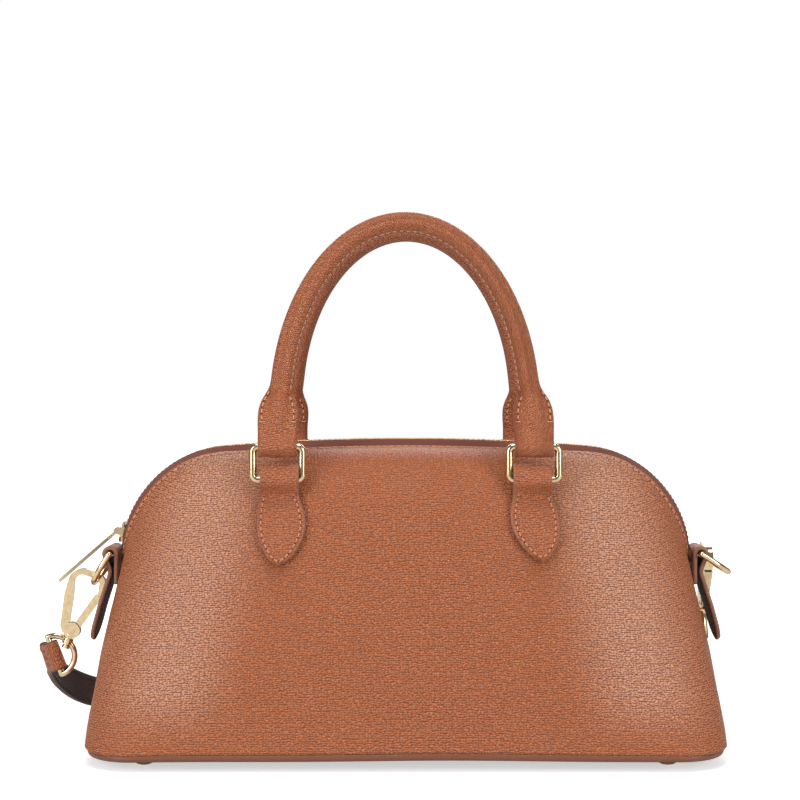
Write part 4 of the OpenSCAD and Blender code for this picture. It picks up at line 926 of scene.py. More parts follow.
class BodyShape:
    """The surface of the front panel between the base outline and the zip band.

    A point has a share u along the outline, from -1 at the left seam to 1 at the right
    seam, and a share t from 0 at the base to 1 at the zip band. Its x and z are mixed
    from the outline to the dome's edge, with a swell at the sides; its depth follows the
    outline low down and a lens higher up, and falls to the band's half width as the
    square root of one less a high power of t, which makes the shoulder.
    """

    BELLY = Hump(rise=1.1, x=0.0, x_spread=90.0, z=45.0, z_spread=30.0)
    HOLLOW = Hump(rise=0.9, x=64.0, x_spread=20.0, z=84.0, z_spread=16.0)
    RIPPLE = 0.35
    LIP, CORNER_LIP, LIP_REACH = 0.8, 1.1, 6.5
    CORNER_X, CORNER_SPREAD = 112.0, 26.0
    FINE_ROWS = 420

    def __init__(self, size: BodySize) -> None:
        """Args: size, the body's sizes."""
        self.size = s = size
        self.half_w, self.half_d = s.base_w / 2, s.base_d / 2
        self.top_turn = math.radians(s.top_arc_half_angle)
        self.top_len = s.top_arc_r * self.top_turn
        self.arc_x = (s.top_arc_r - s.side_arc_r) * math.sin(self.top_turn)
        span = math.radians(90 - s.edge_end_angle - s.top_arc_half_angle)
        self.edge_len = self.top_len + s.side_arc_r * span
        self.flat_x, self.flat_y = self.half_w - s.corner_r, self.half_d - s.corner_r
        self.arc_len = s.corner_r * math.pi / 2
        self.outline = self.flat_x + self.arc_len + self.flat_y
        self.side_half = float(self.dome_at(np.array(self.edge_len), s.end_drop)[0])

    def dome_turn(self, run: Array) -> Array:
        """Returns the dome line's angle from the vertical, in radians, at a distance run."""
        return np.where(run < self.top_len, self.top_turn * run / self.top_len,
                        self.top_turn + (run - self.top_len) / self.size.side_arc_r)

    def dome_at(self, run: Array, sink: Array) -> Array:
        """Returns x and z of the dome line at distances from its crest, sunk inward."""
        s, turn = self.size, self.dome_turn(run)
        top = run < self.top_len
        big, small = s.top_arc_r - sink, s.side_arc_r - sink
        x = np.where(top, big * np.sin(turn), self.arc_x + small * np.sin(turn))
        z = np.where(top, s.crest_z - s.top_arc_r + big * np.cos(turn),
                     s.side_arc_z + small * np.cos(turn))
        return np.stack([x, z])

    def band_at(self, share: Array) -> Array:
        """Returns the half width of the zip band at shares of the dome's half length."""
        s, k = self.size, np.maximum(0.0, (share - 0.8) / 0.2)
        return s.seam_half_gap + (s.band_half - s.seam_half_gap) * (1 - k ** 2.5)

    def drop_at(self, share: Array) -> Array:
        """Returns how far the panel's edge lies below the teeth."""
        s = self.size
        part = (self.band_at(share) - s.seam_half_gap) / (s.band_half - s.seam_half_gap)
        return s.end_drop + (s.edge_drop - s.end_drop) * part

    def edge_share(self, q: Array) -> Array:
        """Returns the share of the dome's half length that an outline share q meets."""
        return self.size.edge_map_share * q + (1 - self.size.edge_map_share) * q ** 3

    def base_at(self, q: Array) -> Array:
        """Returns x and depth of the base outline's front right quarter."""
        d = q * self.outline
        turn = np.clip((d - self.flat_x) / self.size.corner_r, 0, math.pi / 2)
        x = np.minimum(d, self.flat_x) + self.size.corner_r * np.sin(turn)
        y = (self.flat_y + self.size.corner_r * np.cos(turn)
             - np.maximum(0, d - self.flat_x - self.arc_len))
        return np.stack([x, y])

    def half_point(self, q: Array, t: Array) -> Array:
        """Returns x, depth and z of the outer face for outline shares q and heights t."""
        s, t = self.size, np.clip(t, 0.0, 1.0)
        share = self.edge_share(q)
        base, edge = self.base_at(q), self.dome_at(share * self.edge_len, self.drop_at(share))
        band = self.band_at(share)
        lens = np.maximum(0, 1 - np.minimum(q, 1) ** s.lens_power) ** s.lens_round
        low = base[1] / self.half_d
        deep = self.half_d * (low + (lens - low) * t ** s.lens_rise)
        rise = (1 - s.slope_share * t) * np.sqrt(np.maximum(0, 1 - t ** s.shoulder_power))
        swell = ((self.half_w - self.side_half) * ((1 - t) ** s.side_power - (1 - t))
                 + s.side_belly * t * (1 - t) ** 3)
        start = s.seam_half_gap * q ** 6
        return np.stack([base[0] + (edge[0] - base[0]) * t + swell * q ** 3,
                         start + (band - start) * t + np.maximum(0, deep - band * t) * rise,
                         s.rim_top_z + s.touch + (edge[1] - s.rim_top_z - s.touch) * t], axis=-1)

    def point(self, u: Array, t: Array) -> Array:
        """Returns points of the front panel's outer face, with the sag of soft leather."""
        u, t = np.broadcast_arrays(u, t)
        p = self.half_point(np.abs(u), t)
        p = p * np.stack([np.sign(u), -np.ones_like(u), np.ones_like(u)], axis=-1)
        p[..., 2] += self.lift(p[..., 0]) * (1 - t) ** 3
        p[..., 1] -= self.sag(p[..., 0], p[..., 2])
        return p

    def lift(self, x: Array) -> Array:
        """Returns how far the base rim rises: a low arch and two slow waves."""
        return 0.9 * (0.45 - (x / self.half_w) ** 2) + 0.35 * np.sin(x / 31.0 + 0.6) * np.cos(x / 67.0)

    def sag(self, x: Array, z: Array) -> Array:
        """Returns how far soft leather stands out: a belly low down, a hollow under each
        leaf tab and two slow ripples, fading at the base and at the shoulder."""
        fade = np.clip((z - 12) / 30, 0, 1) * np.clip((138 - z) / 25, 0, 1)
        side = 1 - np.clip((np.abs(x) - 100) / 30, 0, 1)
        ripple = self.RIPPLE * np.sin(x / 23.0 + z / 41.0) * np.sin(z / 27.0 + 1.1)
        return (self.BELLY.at(x, z) - self.HOLLOW.at(x, z) + ripple) * fade * side

    SWELL = np.array([[4, 0.6], [8, 1.6], [16, 2.5], [30, 3.4], [50, 4.2], [70, 4.7], [85, 4.5],
                      [95, 3.7], [104, 2.3], [112, 1.1], [122, 0.3], [130, 0.0]])

    def trace(self, u: Array, low: float, high: float, rows: int, crowd: float = 1.0) -> Array:
        """Returns a grid on the outer face with rows spaced by length up each column.

        A grid of four rows or more has a lip that stands out along the zip edge, more so
        at the dome's corners, and the swell of the ends.

        Args: u, the columns' outline shares; low, millimetres above the base edge; high,
        millimetres below the zip edge; rows, their number; crowd, above 1 to have more
        rows near the top.
        """
        t = 1 - (1 - np.linspace(0, 1, self.FINE_ROWS)) ** 2
        fine = self.point(u[None, :], t[:, None])
        run = lengths(fine, 0)
        share = 1 - (1 - np.linspace(0, 1, rows)) ** crowd
        at = low + share[:, None] * (run[-1][None] - high - low)
        grid = np.stack([sample(at[:, c], run[:, c], fine[:, c]) for c in range(u.size)], axis=1)
        if rows < 4:
            return grid
        corner = np.exp(-((np.abs(grid[-1, :, 0]) - self.CORNER_X) / self.CORNER_SPREAD) ** 2)
        lip = self.LIP + self.CORNER_LIP * corner
        lip = lip * np.clip(1 - (run[-1][None] - at) / self.LIP_REACH, 0, 1) ** 2
        return self.swollen(grid + grid_ways(grid)[2] * lip[..., None])

    def swollen(self, grid: Array) -> Array:
        """Returns the grid with its ends pushed outward, as the leather swells there.

        x grows by a height table, eased in from 80 to 150 mm across and away from y = 0.
        """
        x, y, z = grid[..., 0], grid[..., 1], grid[..., 2]
        push = np.interp(z, self.SWELL[:, 0], self.SWELL[:, 1])
        ends = np.clip((np.abs(x) - 80) / 70, 0, 1) ** 1.5
        moved = np.sign(x) * push * ends * eased(np.abs(y), 3.0, 17.0)
        return grid + np.stack([moved, 0 * y, 0 * z], axis=-1)

    def face_at(self, x: Array, z: Array) -> tuple[Array, Array]:
        """Returns the points and normals of the front face at given x and z.

        Both shares are corrected again and again by the miss in x and z. Args: x and z,
        millimetres, of one shape.
        """
        q, t = np.abs(x) / self.outline, np.clip((z - 9) / 145, 0, 1)
        for _ in range(40):
            p = self.half_point(q, t)
            q = np.clip(q + 0.8 * (np.abs(x) - p[..., 0]) / (self.outline * (1 - 0.25 * t)), 0, 1)
            t = np.clip(t + 0.8 * (z - p[..., 2]) / 146, 0, 0.999)
        u = q * np.where(x < 0, -1.0, 1.0)
        step = 0.002
        across = self.point(np.minimum(u + step, 1), t) - self.point(np.maximum(u - step, -1), t)
        up = self.point(u, t + step) - self.point(u, t - step)
        return self.point(u, t), unit(np.cross(across, up))


class Body:
    """The leather shell: two panels, base, linings, zip tapes and their stitches."""

    QUARTER_POINTS = 120
    PANEL_COLUMNS, PANEL_ROWS = 381, 150
    STITCH_IN = 3.3
    LINING_GAP, LINING_T = 3.7, 0.7

    def __init__(self, shape: BodyShape, zip_size: ZipSize, finishes: Finishes) -> None:
        """Args: shape, the panels' surface; zip_size, sizes; finishes, the materials."""
        self.shape = shape
        self.zip = zip_size
        self.finishes = finishes

    def panel(self, face: Face) -> bpy.types.Object:
        """Returns one panel with its turned edges and the stitches along the zip."""
        u = np.linspace(-1, 1, self.PANEL_COLUMNS)
        grid = self.shape.trace(u, 0.3, 0.9, self.PANEL_ROWS, 1.15)
        skin = slab(grid, self.shape.size.panel_t, (0, 0, 0), (1.0, 1.7, 1.0, 1.7))
        rows = self.shape.trace(np.linspace(-0.985, 0.985, 801), 60.0, self.STITCH_IN, 60)
        line, out = rows[-1], grid_ways(rows[-4:])[2][-1]
        sewing = stitches(line, out, ZIP_STITCH, finish=1, hole_shade=2)
        f = self.finishes
        return fit(f"{face.word}_panel", "leather",
                   [p.on(face) for p in (skin, *sewing)],
                   [f.leather, f.thread, f.pit])

    def outline(self, inset: float) -> Array:
        """Returns the base outline moved inward, as points by 2, from the front middle."""
        s = self.shape
        q = np.linspace(0, 1, self.QUARTER_POINTS, endpoint=False)
        x, y = s.base_at(q)
        back = s.base_at(1 - q)
        way_x = np.clip((q * s.outline - s.flat_x) / s.size.corner_r, 0, math.pi / 2)
        way_back = np.clip(((1 - q) * s.outline - s.flat_x) / s.size.corner_r, 0, math.pi / 2)
        first = np.stack([x - inset * np.sin(way_x), -(y - inset * np.cos(way_x))], axis=1)
        second = np.stack([back[0] - inset * np.sin(way_back),
                           back[1] - inset * np.cos(way_back)], axis=1)
        return np.concatenate([first, second, -first, -second])

    def base(self) -> bpy.types.Object:
        """Returns the base: a rolled rim round a flat plate, with a turned seam above.

        Rings follow the outline at an inset and a height: up the inside, over the half
        round rim and in under the plate, all raised by the slow wave of the rim.
        """
        s = self.shape.size
        r, mid = s.rim_t / 2, s.rim_top_z - s.rim_t / 2
        angle = np.radians(np.linspace(100, -90, 16))
        insets = np.concatenate([[9.0, 5.0, 3.2], r - (r + 0.25) * np.cos(angle),
                                 [4.0, 7.0, 14.0, 26.0, 40.0]])
        heights = np.concatenate([[mid + r - 0.2, mid + r - 0.1, mid + r], mid + r * np.sin(angle),
                                  np.full(5, mid - r)])
        rings = []
        for inset, height in zip(insets, heights):
            plan = self.outline(min(inset, s.corner_r - 1.0))
            if inset > s.corner_r - 1.0:
                plan = plan * np.array([0.86, 1 - (inset - s.corner_r + 1.0) / 44.0])
            rings.append(np.column_stack([plan, height + self.shape.lift(plan[:, 0])]))
        grid = np.stack(rings)
        place = np.concatenate([grid[..., :2], grid[:, :1, :2]], axis=1)
        run = np.concatenate([grid, grid[:, :1]], axis=1)
        place = np.where(np.arange(grid.shape[0])[:, None, None] < 20,
                         np.stack([lengths(run, 1), lengths(run, 0)], axis=-1), place)
        patches = [net(grid, place, around=True, flip=True), fan(grid[0]), fan(grid[-1], flip=True)]
        piece = make_piece("base_leather", patches, [self.finishes.rim])
        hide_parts("base_panel")
        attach(piece, "bag")
        return piece

    def lining(self, face: Face) -> bpy.types.Object:
        """Returns one lining sheet, a little wavy, behind its panel."""
        u = np.linspace(-0.995, 0.995, 161)
        grid = self.shape.trace(u, 6.0, 5.0, 70, 1.1)
        normal = grid_ways(grid)[2]
        x, z = grid[..., 0], grid[..., 2]
        drift = self.LINING_GAP + 0.25 * np.sin(x / 17.0 + z / 29.0) * np.sin(z / 19.0)
        skin = slab(grid - normal * drift[..., None], self.LINING_T, steps=4)
        return fit(f"lining_{face.word}", "cloth", [skin.on(face)],
                   [self.finishes.lining])

    def lining_floor(self) -> bpy.types.Object:
        """Returns the lining cloth over the board: rings of the outline, closed below."""
        z = self.shape.size.rim_top_z + 2.2
        levels = [(30.0, 0.0), (3.6, 0.0), (3.3, 0.2), (3.3, 0.5), (3.6, 0.7), (30.0, 0.7)]
        rings = []
        for inset, lift in levels:
            plan = self.outline(min(inset, 24.0))
            if inset > 24.0:
                plan = plan * np.array([0.8, 0.7])
            rings.append(np.column_stack([plan, np.full(plan.shape[0], z + lift)]))
        grid = np.stack(rings)
        place = np.concatenate([grid[..., :2], grid[:, :1, :2]], axis=1)
        patches = [net(grid, place, around=True), fan(grid[0], flip=True), fan(grid[-1])]
        return fit("lining_floor", "cloth", patches, [self.finishes.lining])

    def tape(self, face: Face) -> bpy.types.Object:
        """Returns one zip tape: flat by the teeth, then sloping under the panel's edge.

        Rows run across the tape through four guide points, straight between them, for each
        of many places along the dome.
        """
        s, z = self.shape, self.zip
        u = np.linspace(-0.985, 0.985, 361)
        share = s.edge_share(np.abs(u)) * np.sign(u)
        band = s.band_at(np.abs(share))
        run = np.abs(share) * s.edge_len
        level = z.tooth_h / 2 - z.tape_t / 2
        plan = s.dome_at(run, level)
        near = np.minimum(z.tooth_reach + z.slack, band - 0.2)
        mid = np.minimum(z.slider_w / 2 + 0.5, band - 0.1)
        inner = np.stack([np.sign(u) * plan[0], -near, plan[1]], axis=-1)
        flat = np.stack([np.sign(u) * plan[0], -mid, plan[1]], axis=-1)
        rows = s.trace(u, 0.0, 0.0, 160, 1.1)
        normal = grid_ways(rows)[2]
        edge = rows[-1] - normal[-3] * 2.5 + np.array([0.0, 0.6, 0.0])
        tucked = rows[-7] - normal[-7] * 2.5
        guides = np.stack([tucked, edge, flat, inner])
        at = np.linspace(0, 3, 19)
        low = np.minimum(at.astype(int), 2)
        part = (at - low)[:, None, None]
        grid = guides[low] + (guides[low + 1] - guides[low]) * part
        skin = slab(grid, z.tape_t, steps=4)
        return fit(f"zip_tape_{face.word}", "cloth", [skin.on(face)],
                   [self.finishes.tape])

    def build(self) -> list[bpy.types.Object]:
        """Returns all the pieces of the body."""
        pieces = [self.panel(face) for face in Face]
        pieces += [self.base(), self.lining_floor()]
        pieces += [self.lining(face) for face in Face]
        pieces += [self.tape(face) for face in Face]
        paint("base_board", self.finishes.board)
        return pieces


# Handles and leaf tabs


class Handles:
    """Two rolled handles with flared ends, and the leaf tabs that hold their rings."""

    WINGS = np.array([[-5, 0.96], [8, 0.97], [13, 1.0], [17, 0.995], [20, 0.955], [22.5, 0.885],
                      [24.5, 0.79], [26.5, 0.66], [28.5, 0.56], [31, 0.525], [40, 0.525]])
    INSET = 0.85
    FOLD_RISE = 3.0
    LEAF = np.array([[0, 0.8], [0.08, 0.87], [0.2, 0.955], [0.33, 1], [0.43, 1], [0.56, 0.955],
                     [0.68, 0.84], [0.78, 0.7], [0.85, 0.57], [0.925, 0.4], [0.975, 0.2], [1.0, 0.03]])
    SHIFT_AT = (0.0, 0.25, 0.45, 0.8, 1.0)

    def __init__(self, size: HandleSize, shape: BodyShape, finishes: Finishes) -> None:
        """Args: size, the sizes; shape, the panels' surface; finishes, the materials."""
        self.size = size
        self.shape = shape
        self.finishes = finishes
        self.frame = (Matrix.Translation((0, -size.ring_y, size.ring_top_z))
                      @ Matrix.Rotation(math.radians(-size.lean), 4, "X"))

    def arch(self) -> tuple[Array, Array]:
        """Returns the arch's middle line and each point's length above its ring's bar.

        Two straight legs joined by a half ellipse, as x across, 0 and z up. The legs
        start below the bar, with close stations where the leather turns round it.
        """
        s = self.size
        lean = math.cos(math.radians(s.lean))
        leg = (s.leg_z - s.ring_top_z) / lean
        rise = (s.top_z - s.tube_d / 2 - s.ring_top_z) / lean - leg
        low = -s.loop_r * np.cos(np.radians(np.linspace(3, 90, 12)))
        up = np.concatenate([low, np.linspace(0, leg, 24)[1:-1]])
        turn = np.radians(np.linspace(180, 0, 230))
        left = np.stack([np.full(up.size, -s.half_span), np.zeros(up.size), up], axis=1)
        bow = np.stack([s.half_span * np.cos(turn), np.zeros(230), leg + rise * np.sin(turn)], axis=1)
        path = np.concatenate([left, bow, left[::-1] * np.array([-1, 1, 1])])
        path[:, 0] -= (path[:, 0] * 0.024 + 0.5) * eased(path[:, 2], 8.0, 38.0)
        run = lengths(path, 0)
        return path, np.minimum(run, run[-1] - run) + low[0]

    def rolled(self) -> list[Patch]:
        """Returns the leather from under one ring's bar, up the flare and over the arch.

        A ring has across = half width * cos and out = half thickness * sin, squared off
        towards the flares, with a groove along the middle of both faces of the legs. The
        thickness is a half circle round the bar, narrows to the flare and grows to the tube.
        """
        s = self.size
        path, up = self.arch()
        width = np.interp(up, self.WINGS[:, 0], self.WINGS[:, 1]) * s.flare_w
        width = np.convolve(np.pad(width, 2, mode="edge"), np.ones(5) / 5, mode="valid")
        turn = np.linspace(0, 2 * math.pi, 56, endpoint=False)
        power = np.interp(up, [22, 31], [0.5, 1.0])[:, None]
        cos, sin = np.cos(turn)[None], np.sin(turn)[None]
        across = np.sign(cos) * np.abs(cos) ** power * width[:, None] / 2
        out = np.sign(sin) * self.half_thick(up[:, None], across, width[:, None] / 2)
        bend = unit(np.gradient(path, axis=0))
        side = np.cross(np.array([0.0, 1.0, 0.0]), bend)
        patches = sweep(path, side, np.stack([across, out], axis=-1))
        edge = (np.abs(np.cos(turn)) > 0.975)[None] & (up < 26.0)[:, None]
        patches[0].finish = edge[:-1].astype(int).ravel()
        return patches

    def half_thick(self, up: Array, across: Array, half: Array) -> Array:
        """Returns half the thickness of a flared leg.

        The larger, softly joined, of a flat wing with a rounded edge and the round of the
        rolled leg with a groove down its middle. The wing is a half circle round the bar
        and thins above it. Args: up, from the bar; across, from the leg's middle; half,
        half the width there.
        """
        s = self.size
        round_bar = np.sqrt(np.maximum(0.02, s.loop_r ** 2 - np.minimum(up, 3.0) ** 2))
        wing = np.where(up < 3, round_bar, 2.6 + 1.52 * np.exp(-(np.maximum(up, 3) - 3) / 2.1))
        wing = wing * np.interp(up, [24, 31], [1.0, 0.0])
        wing = wing * np.sqrt(np.clip(1 - (np.abs(across) / half) ** 10, 0, 1))
        groove = np.interp(up, [12, 24, 55, 95], [0.0, 0.16, 0.13, 0.0])
        reach = np.minimum(s.tube_d / 2, half)
        tube = np.sqrt(np.clip(reach ** 2 - across ** 2, 0, None))
        tube = tube * np.interp(up, [5, 9, 14, 20], [0.3, 0.66, 0.9, 1.0])
        tube = tube * (1 - groove * np.exp(-(across / 1.5) ** 2))
        return (wing ** 5 + tube ** 5) ** 0.2

    def sewing(self) -> list[Patch]:
        """Returns the stitch rows and bar stitches on both faces of the left flare."""
        s = self.size
        up = np.linspace(12.5, 27.5, 24)
        width = np.interp(up, self.WINGS[:, 0], self.WINGS[:, 1]) * s.flare_w / 2 - 2.2
        patches = []
        for face in (-1.0, 1.0):
            lift = (self.half_thick(up, width, width + 2.2) + 0.08) * face
            out = np.broadcast_to(np.array([0.0, face, 0.0]), (24, 3))
            for side in (-1.0, 1.0):
                row = np.stack([-s.half_span + side * width, lift, up], axis=1)
                patches += stitches(row, out, FLARE_STITCH, finish=2, hole_shade=3)
                bar = np.stack([-s.half_span + side * (width[0] + np.array([-1.3, 1.3])),
                                np.full(2, lift[0]), np.full(2, up[0] - 0.4)], axis=1)
                patches += stitches(bar, out[:2], FLARE_BAR, finish=2)
        return patches

    def seam(self) -> list[Patch]:
        """Returns the pale seam along the inside of the arch with its stitches."""
        s = self.size
        path, up = self.arch()
        way = unit(np.gradient(path, axis=0))
        side = np.cross(np.array([0.0, 1.0, 0.0]), way)
        keep = up > 27
        inward = -side if np.sum(side[:, 2]) > 0 else side
        line = (path + inward * (s.tube_d / 2 - 0.15))[keep]
        section = round_box(1.5, 0.9, 0.42, 4, 1)
        patches = sweep(line, np.array([0.0, 1.0, 0.0]), section, finish=1)
        row = (path + inward * (s.tube_d / 2 - 0.35) + np.array([0.0, -1.7, 0.0]))[keep]
        return patches + stitches(row, inward[keep] + np.array([0.0, -0.45, 0.0]),
                                  ARCH_STITCH, finish=2)

    def handle(self, face: Face) -> bpy.types.Object:
        """Returns one whole handle: cover, seam and stitches."""
        left = self.sewing()
        patches = self.rolled() + self.seam() + left + [mirrored(p) for p in left]
        patches = [placed(p, self.frame) for p in patches]
        patches = [p.on(face) for p in patches]
        f, word = self.finishes, face.word
        piece = make_piece(f"{word}_handle_leather", patches,
                           [f.leather_small, f.edge, f.thread, f.pit])
        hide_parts(f"{word}_handle", f"{word}_handle_ends", f"{word}_handle_core")
        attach(piece, f"{word}_carry")
        return piece

    def tab(self, x: float, shift: tuple[float, ...], rise: float) -> list[Patch]:
        """Returns one leaf tab on the front: loop over the ring's bar, neck and leaf.

        Rows of one sheet run from behind the bar, over it as an arc and down the front,
        then down the leaf with its half width from a table, standing on the panel.
        Args: x, its ring's middle; shift, how far right the sewn leaf sits at the shares
        SHIFT_AT of its length; rise, how much its tip is raised.
        """
        s = self.size
        cross = np.linspace(1, -1, 41)
        turn = np.radians(np.linspace(-15, 195, 30))
        arc = np.stack([-s.ring_y + s.loop_r * np.cos(turn),
                        s.ring_low_z + (s.loop_r + self.FOLD_RISE) * np.sin(turn)], axis=1)
        share = np.linspace(0, 1, 75)
        half = np.interp(share, self.LEAF[:, 0], self.LEAF[:, 1])
        half = np.convolve(np.pad(half, 2, mode="edge"), np.ones(5) / 5, mode="valid") * s.leaf_w / 2
        half = np.maximum(half - self.INSET, 0.3)
        drop = s.leaf_top_z - s.leaf_tip_z - self.INSET - rise
        z = s.leaf_top_z - share * drop
        mid = x + np.interp(share, self.SHIFT_AT, shift)
        px = mid[:, None] + half[:, None] * cross[None]
        pz = np.broadcast_to(z[:, None], px.shape)
        face, normal = self.shape.face_at(px, pz)
        crown = 0.35 * (1 - np.abs(cross[None]) ** 2.5) * np.clip(half[:, None] / 6, 0, 1)
        leaf = face + normal * (s.leaf_t + 0.15 + crown)[..., None]
        neck = x + shift[0] + cross * (s.neck_w / 2 - self.INSET)
        behind = face[0] + normal[0] * 0.3 + np.array([0.0, 0.0, 0.6])
        behind[:, 0] = neck
        loop = np.stack([np.broadcast_to(neck[None], (30, 41)), np.broadcast_to(arc[:, :1], (30, 41)),
                         np.broadcast_to(arc[:, 1:], (30, 41))], axis=-1)
        rest = np.linspace(0, 1, 9)[1:-1, None, None]
        back_leg = behind[None] + (loop[0] - behind)[None] * np.concatenate([[[[0.0]]], rest])
        front_leg = loop[-1][None] + (leaf[0] - loop[-1])[None] * rest
        grid = np.concatenate([back_leg, loop, front_leg, leaf])
        for _ in range(3):
            grid[2:60] = 0.25 * grid[1:59] + 0.5 * grid[2:60] + 0.25 * grid[3:61]
        patches = [slab(grid, s.leaf_t - 0.15, (0, 1, 0), (0.6,) * 4, steps=7)]
        edge = np.stack([half, z], axis=1)
        way = unit(np.gradient(edge, axis=0))
        inner = edge + np.stack([way[:, 1], -way[:, 0]], axis=1) * 1.7
        inner = inner[(inner[:, 0] > 0.2) & (inner[:, 1] < s.leaf_top_z - 0.3)]
        right = np.column_stack([inner[:, 0], inner[:, 1]])
        both = np.concatenate([right, right[::-1] * np.array([-1, 1])])
        lx = x + np.interp((s.leaf_top_z - both[:, 1]) / drop, self.SHIFT_AT, shift) + both[:, 0]
        spot, out = self.shape.face_at(lx, both[:, 1])
        line = spot + out * (s.leaf_t + 0.36)
        patches += stitches(line, out, LEAF_STITCH, finish=2, hole_shade=3)
        for side in (-1.0, 1.0):
            bx = x + shift[0] + side * np.array([s.neck_w / 2 - 4.2, s.neck_w / 2 - 1.2])
            spot, out = self.shape.face_at(bx, np.full(2, s.leaf_top_z + 0.4))
            patches += stitches(spot + out * (s.leaf_t + 0.6), out, LEAF_BAR, finish=2)
        return patches

    def tabs(self) -> list[bpy.types.Object]:
        """Returns the four leaf tabs."""
        s, f, made = self.size, self.finishes, []
        front, back = Face.FRONT, Face.BACK
        upright, leaning = (1.2, 2.0, 2.2, 1.5, 0.7), (-1.0, -0.4, 0.3, 2.3, 3.4)
        plans = [("tab_front_left", -s.half_span, upright, 0.0, front),
                 ("tab_front_right", s.half_span, leaning, 2.0, front),
                 ("tab_back_left", s.half_span, upright, 0.0, back),
                 ("tab_back_right", -s.half_span, upright, 0.0, back)]
        for name, x, shift, rise, face in plans:
            patches = [p.on(face) for p in self.tab(x, shift, rise)]
            made.append(fit(name, "leather", patches, [f.leather_small, f.edge, f.thread, f.pit]))
        return made

    def build(self) -> list[bpy.types.Object]:
        """Returns all the pieces of the handles and their tabs."""
        return [self.handle(face) for face in Face] + self.tabs()


# Side tabs and strap


def band(path: Array, widths: Array, thick: float, count: int = 17) -> Patch:
    """Returns a strip whose outer face follows a path in the x-z plane, width along y.

    Its outer face, edge and inner face have the finishes 0, 1 and 2. Args: path, n by 2,
    outer face to the left of its way seen from the front; widths, n; thick, millimetres;
    count, points across.
    """
    across = np.linspace(0.5, -0.5, count)
    widths = np.maximum(widths - 0.6 * thick, 0.4)
    grid = np.stack([np.broadcast_to(path[:, :1], (len(path), count)), widths[:, None] * across[None],
                     np.broadcast_to(path[:, 1:], (len(path), count))], axis=-1)
    return slab(grid, thick, (0, 1, 2), (0.6,) * 4, steps=6)


class SideTabs:
    """The two leather tabs that hold the dee rings at the side seams."""

    def __init__(self, size: SideTabSize, seam_x: float, finishes: Finishes) -> None:
        """Args: size, the sizes; seam_x, the tab's inner face; finishes, the materials."""
        self.size = size
        self.seam_x = seam_x
        self.finishes = finishes

    def build(self) -> list[bpy.types.Object]:
        """Returns both tabs: sewn leg, loop over the bar, and a free tail with a round end."""
        s = self.size
        loop = s.wire / 2 + 0.25 + s.thick
        turn = np.radians(np.linspace(190, -35, 40))
        arc = np.stack([s.dee_x + loop * np.cos(turn), s.dee_z + loop * np.sin(turn)], axis=1)
        lean = math.radians(s.tail_turn)
        stitch = np.array([self.seam_x + 2 * s.thick + 0.1, s.dee_z - 9.0])
        tail_len = 35.5 / math.cos(lean)
        tail_way = np.array([math.sin(lean), -math.cos(lean)])
        corners = [(self.seam_x, s.dee_z - 15.0), (self.seam_x, s.dee_z - 8.0), *map(tuple, arc),
                   tuple(stitch), tuple(stitch + tail_way * tail_len * 0.5 + np.array([0.5, 0.0])),
                   tuple(stitch + tail_way * tail_len)]
        path = curve_points(corners, 0.7, 5)
        way = unit(np.gradient(path, axis=0))
        path = path + s.slimmer * np.stack([way[:, 1], -way[:, 0]], axis=1)
        run = lengths(np.column_stack([path, np.zeros(len(path))]), 0)
        left = run[-1] - run
        half = s.width / 2
        rounded = np.sqrt(np.maximum(0.3, half ** 2 - (half - left) ** 2))
        widths = 2 * np.where(left < half, rounded, half)
        strip = band(path, widths, s.thick - 0.1 - 2 * s.slimmer)
        seam_at = int(np.argmin(np.abs(path[:, 1] - stitch[1]) + 99 * (path[:, 0] < s.dee_x)))
        out = np.array([[1.0, 0.0, 0.05]])
        y = np.linspace(-half + 1.6, half - 1.6, 20)
        rows = []
        for lift in (0.0, 1.3):
            x = path[seam_at, 0] + 0.1
            line = np.stack([np.full(20, x), y, np.full(20, stitch[1] + lift)], axis=1)
            rows += stitches(line, np.repeat(out, 20, axis=0), SIDE_TAB_STITCH, finish=3)
        f, made = self.finishes, []
        for name, side in (("side_tab_right", Side.RIGHT), ("side_tab_left", Side.LEFT)):
            patches = [strip, *rows]
            if side is Side.LEFT:
                patches = [mirrored(p) for p in patches]
            made.append(fit(name, "leather", patches, [f.leather_small, f.edge, f.backing, f.thread]))
        return made


@dataclass(frozen=True)
class ClaspPlace:
    """Where a clasp hangs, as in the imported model."""

    end: tuple[float, float, float]
    turns: tuple[tuple[float, str], ...]
    end_turn: float
    link: str

    def frame(self) -> Matrix:
        """Returns the clasp's frame."""
        made = Matrix.Translation(self.end)
        for angle, axis in self.turns:
            made = made @ Matrix.Rotation(math.radians(angle), 4, axis)
        return made


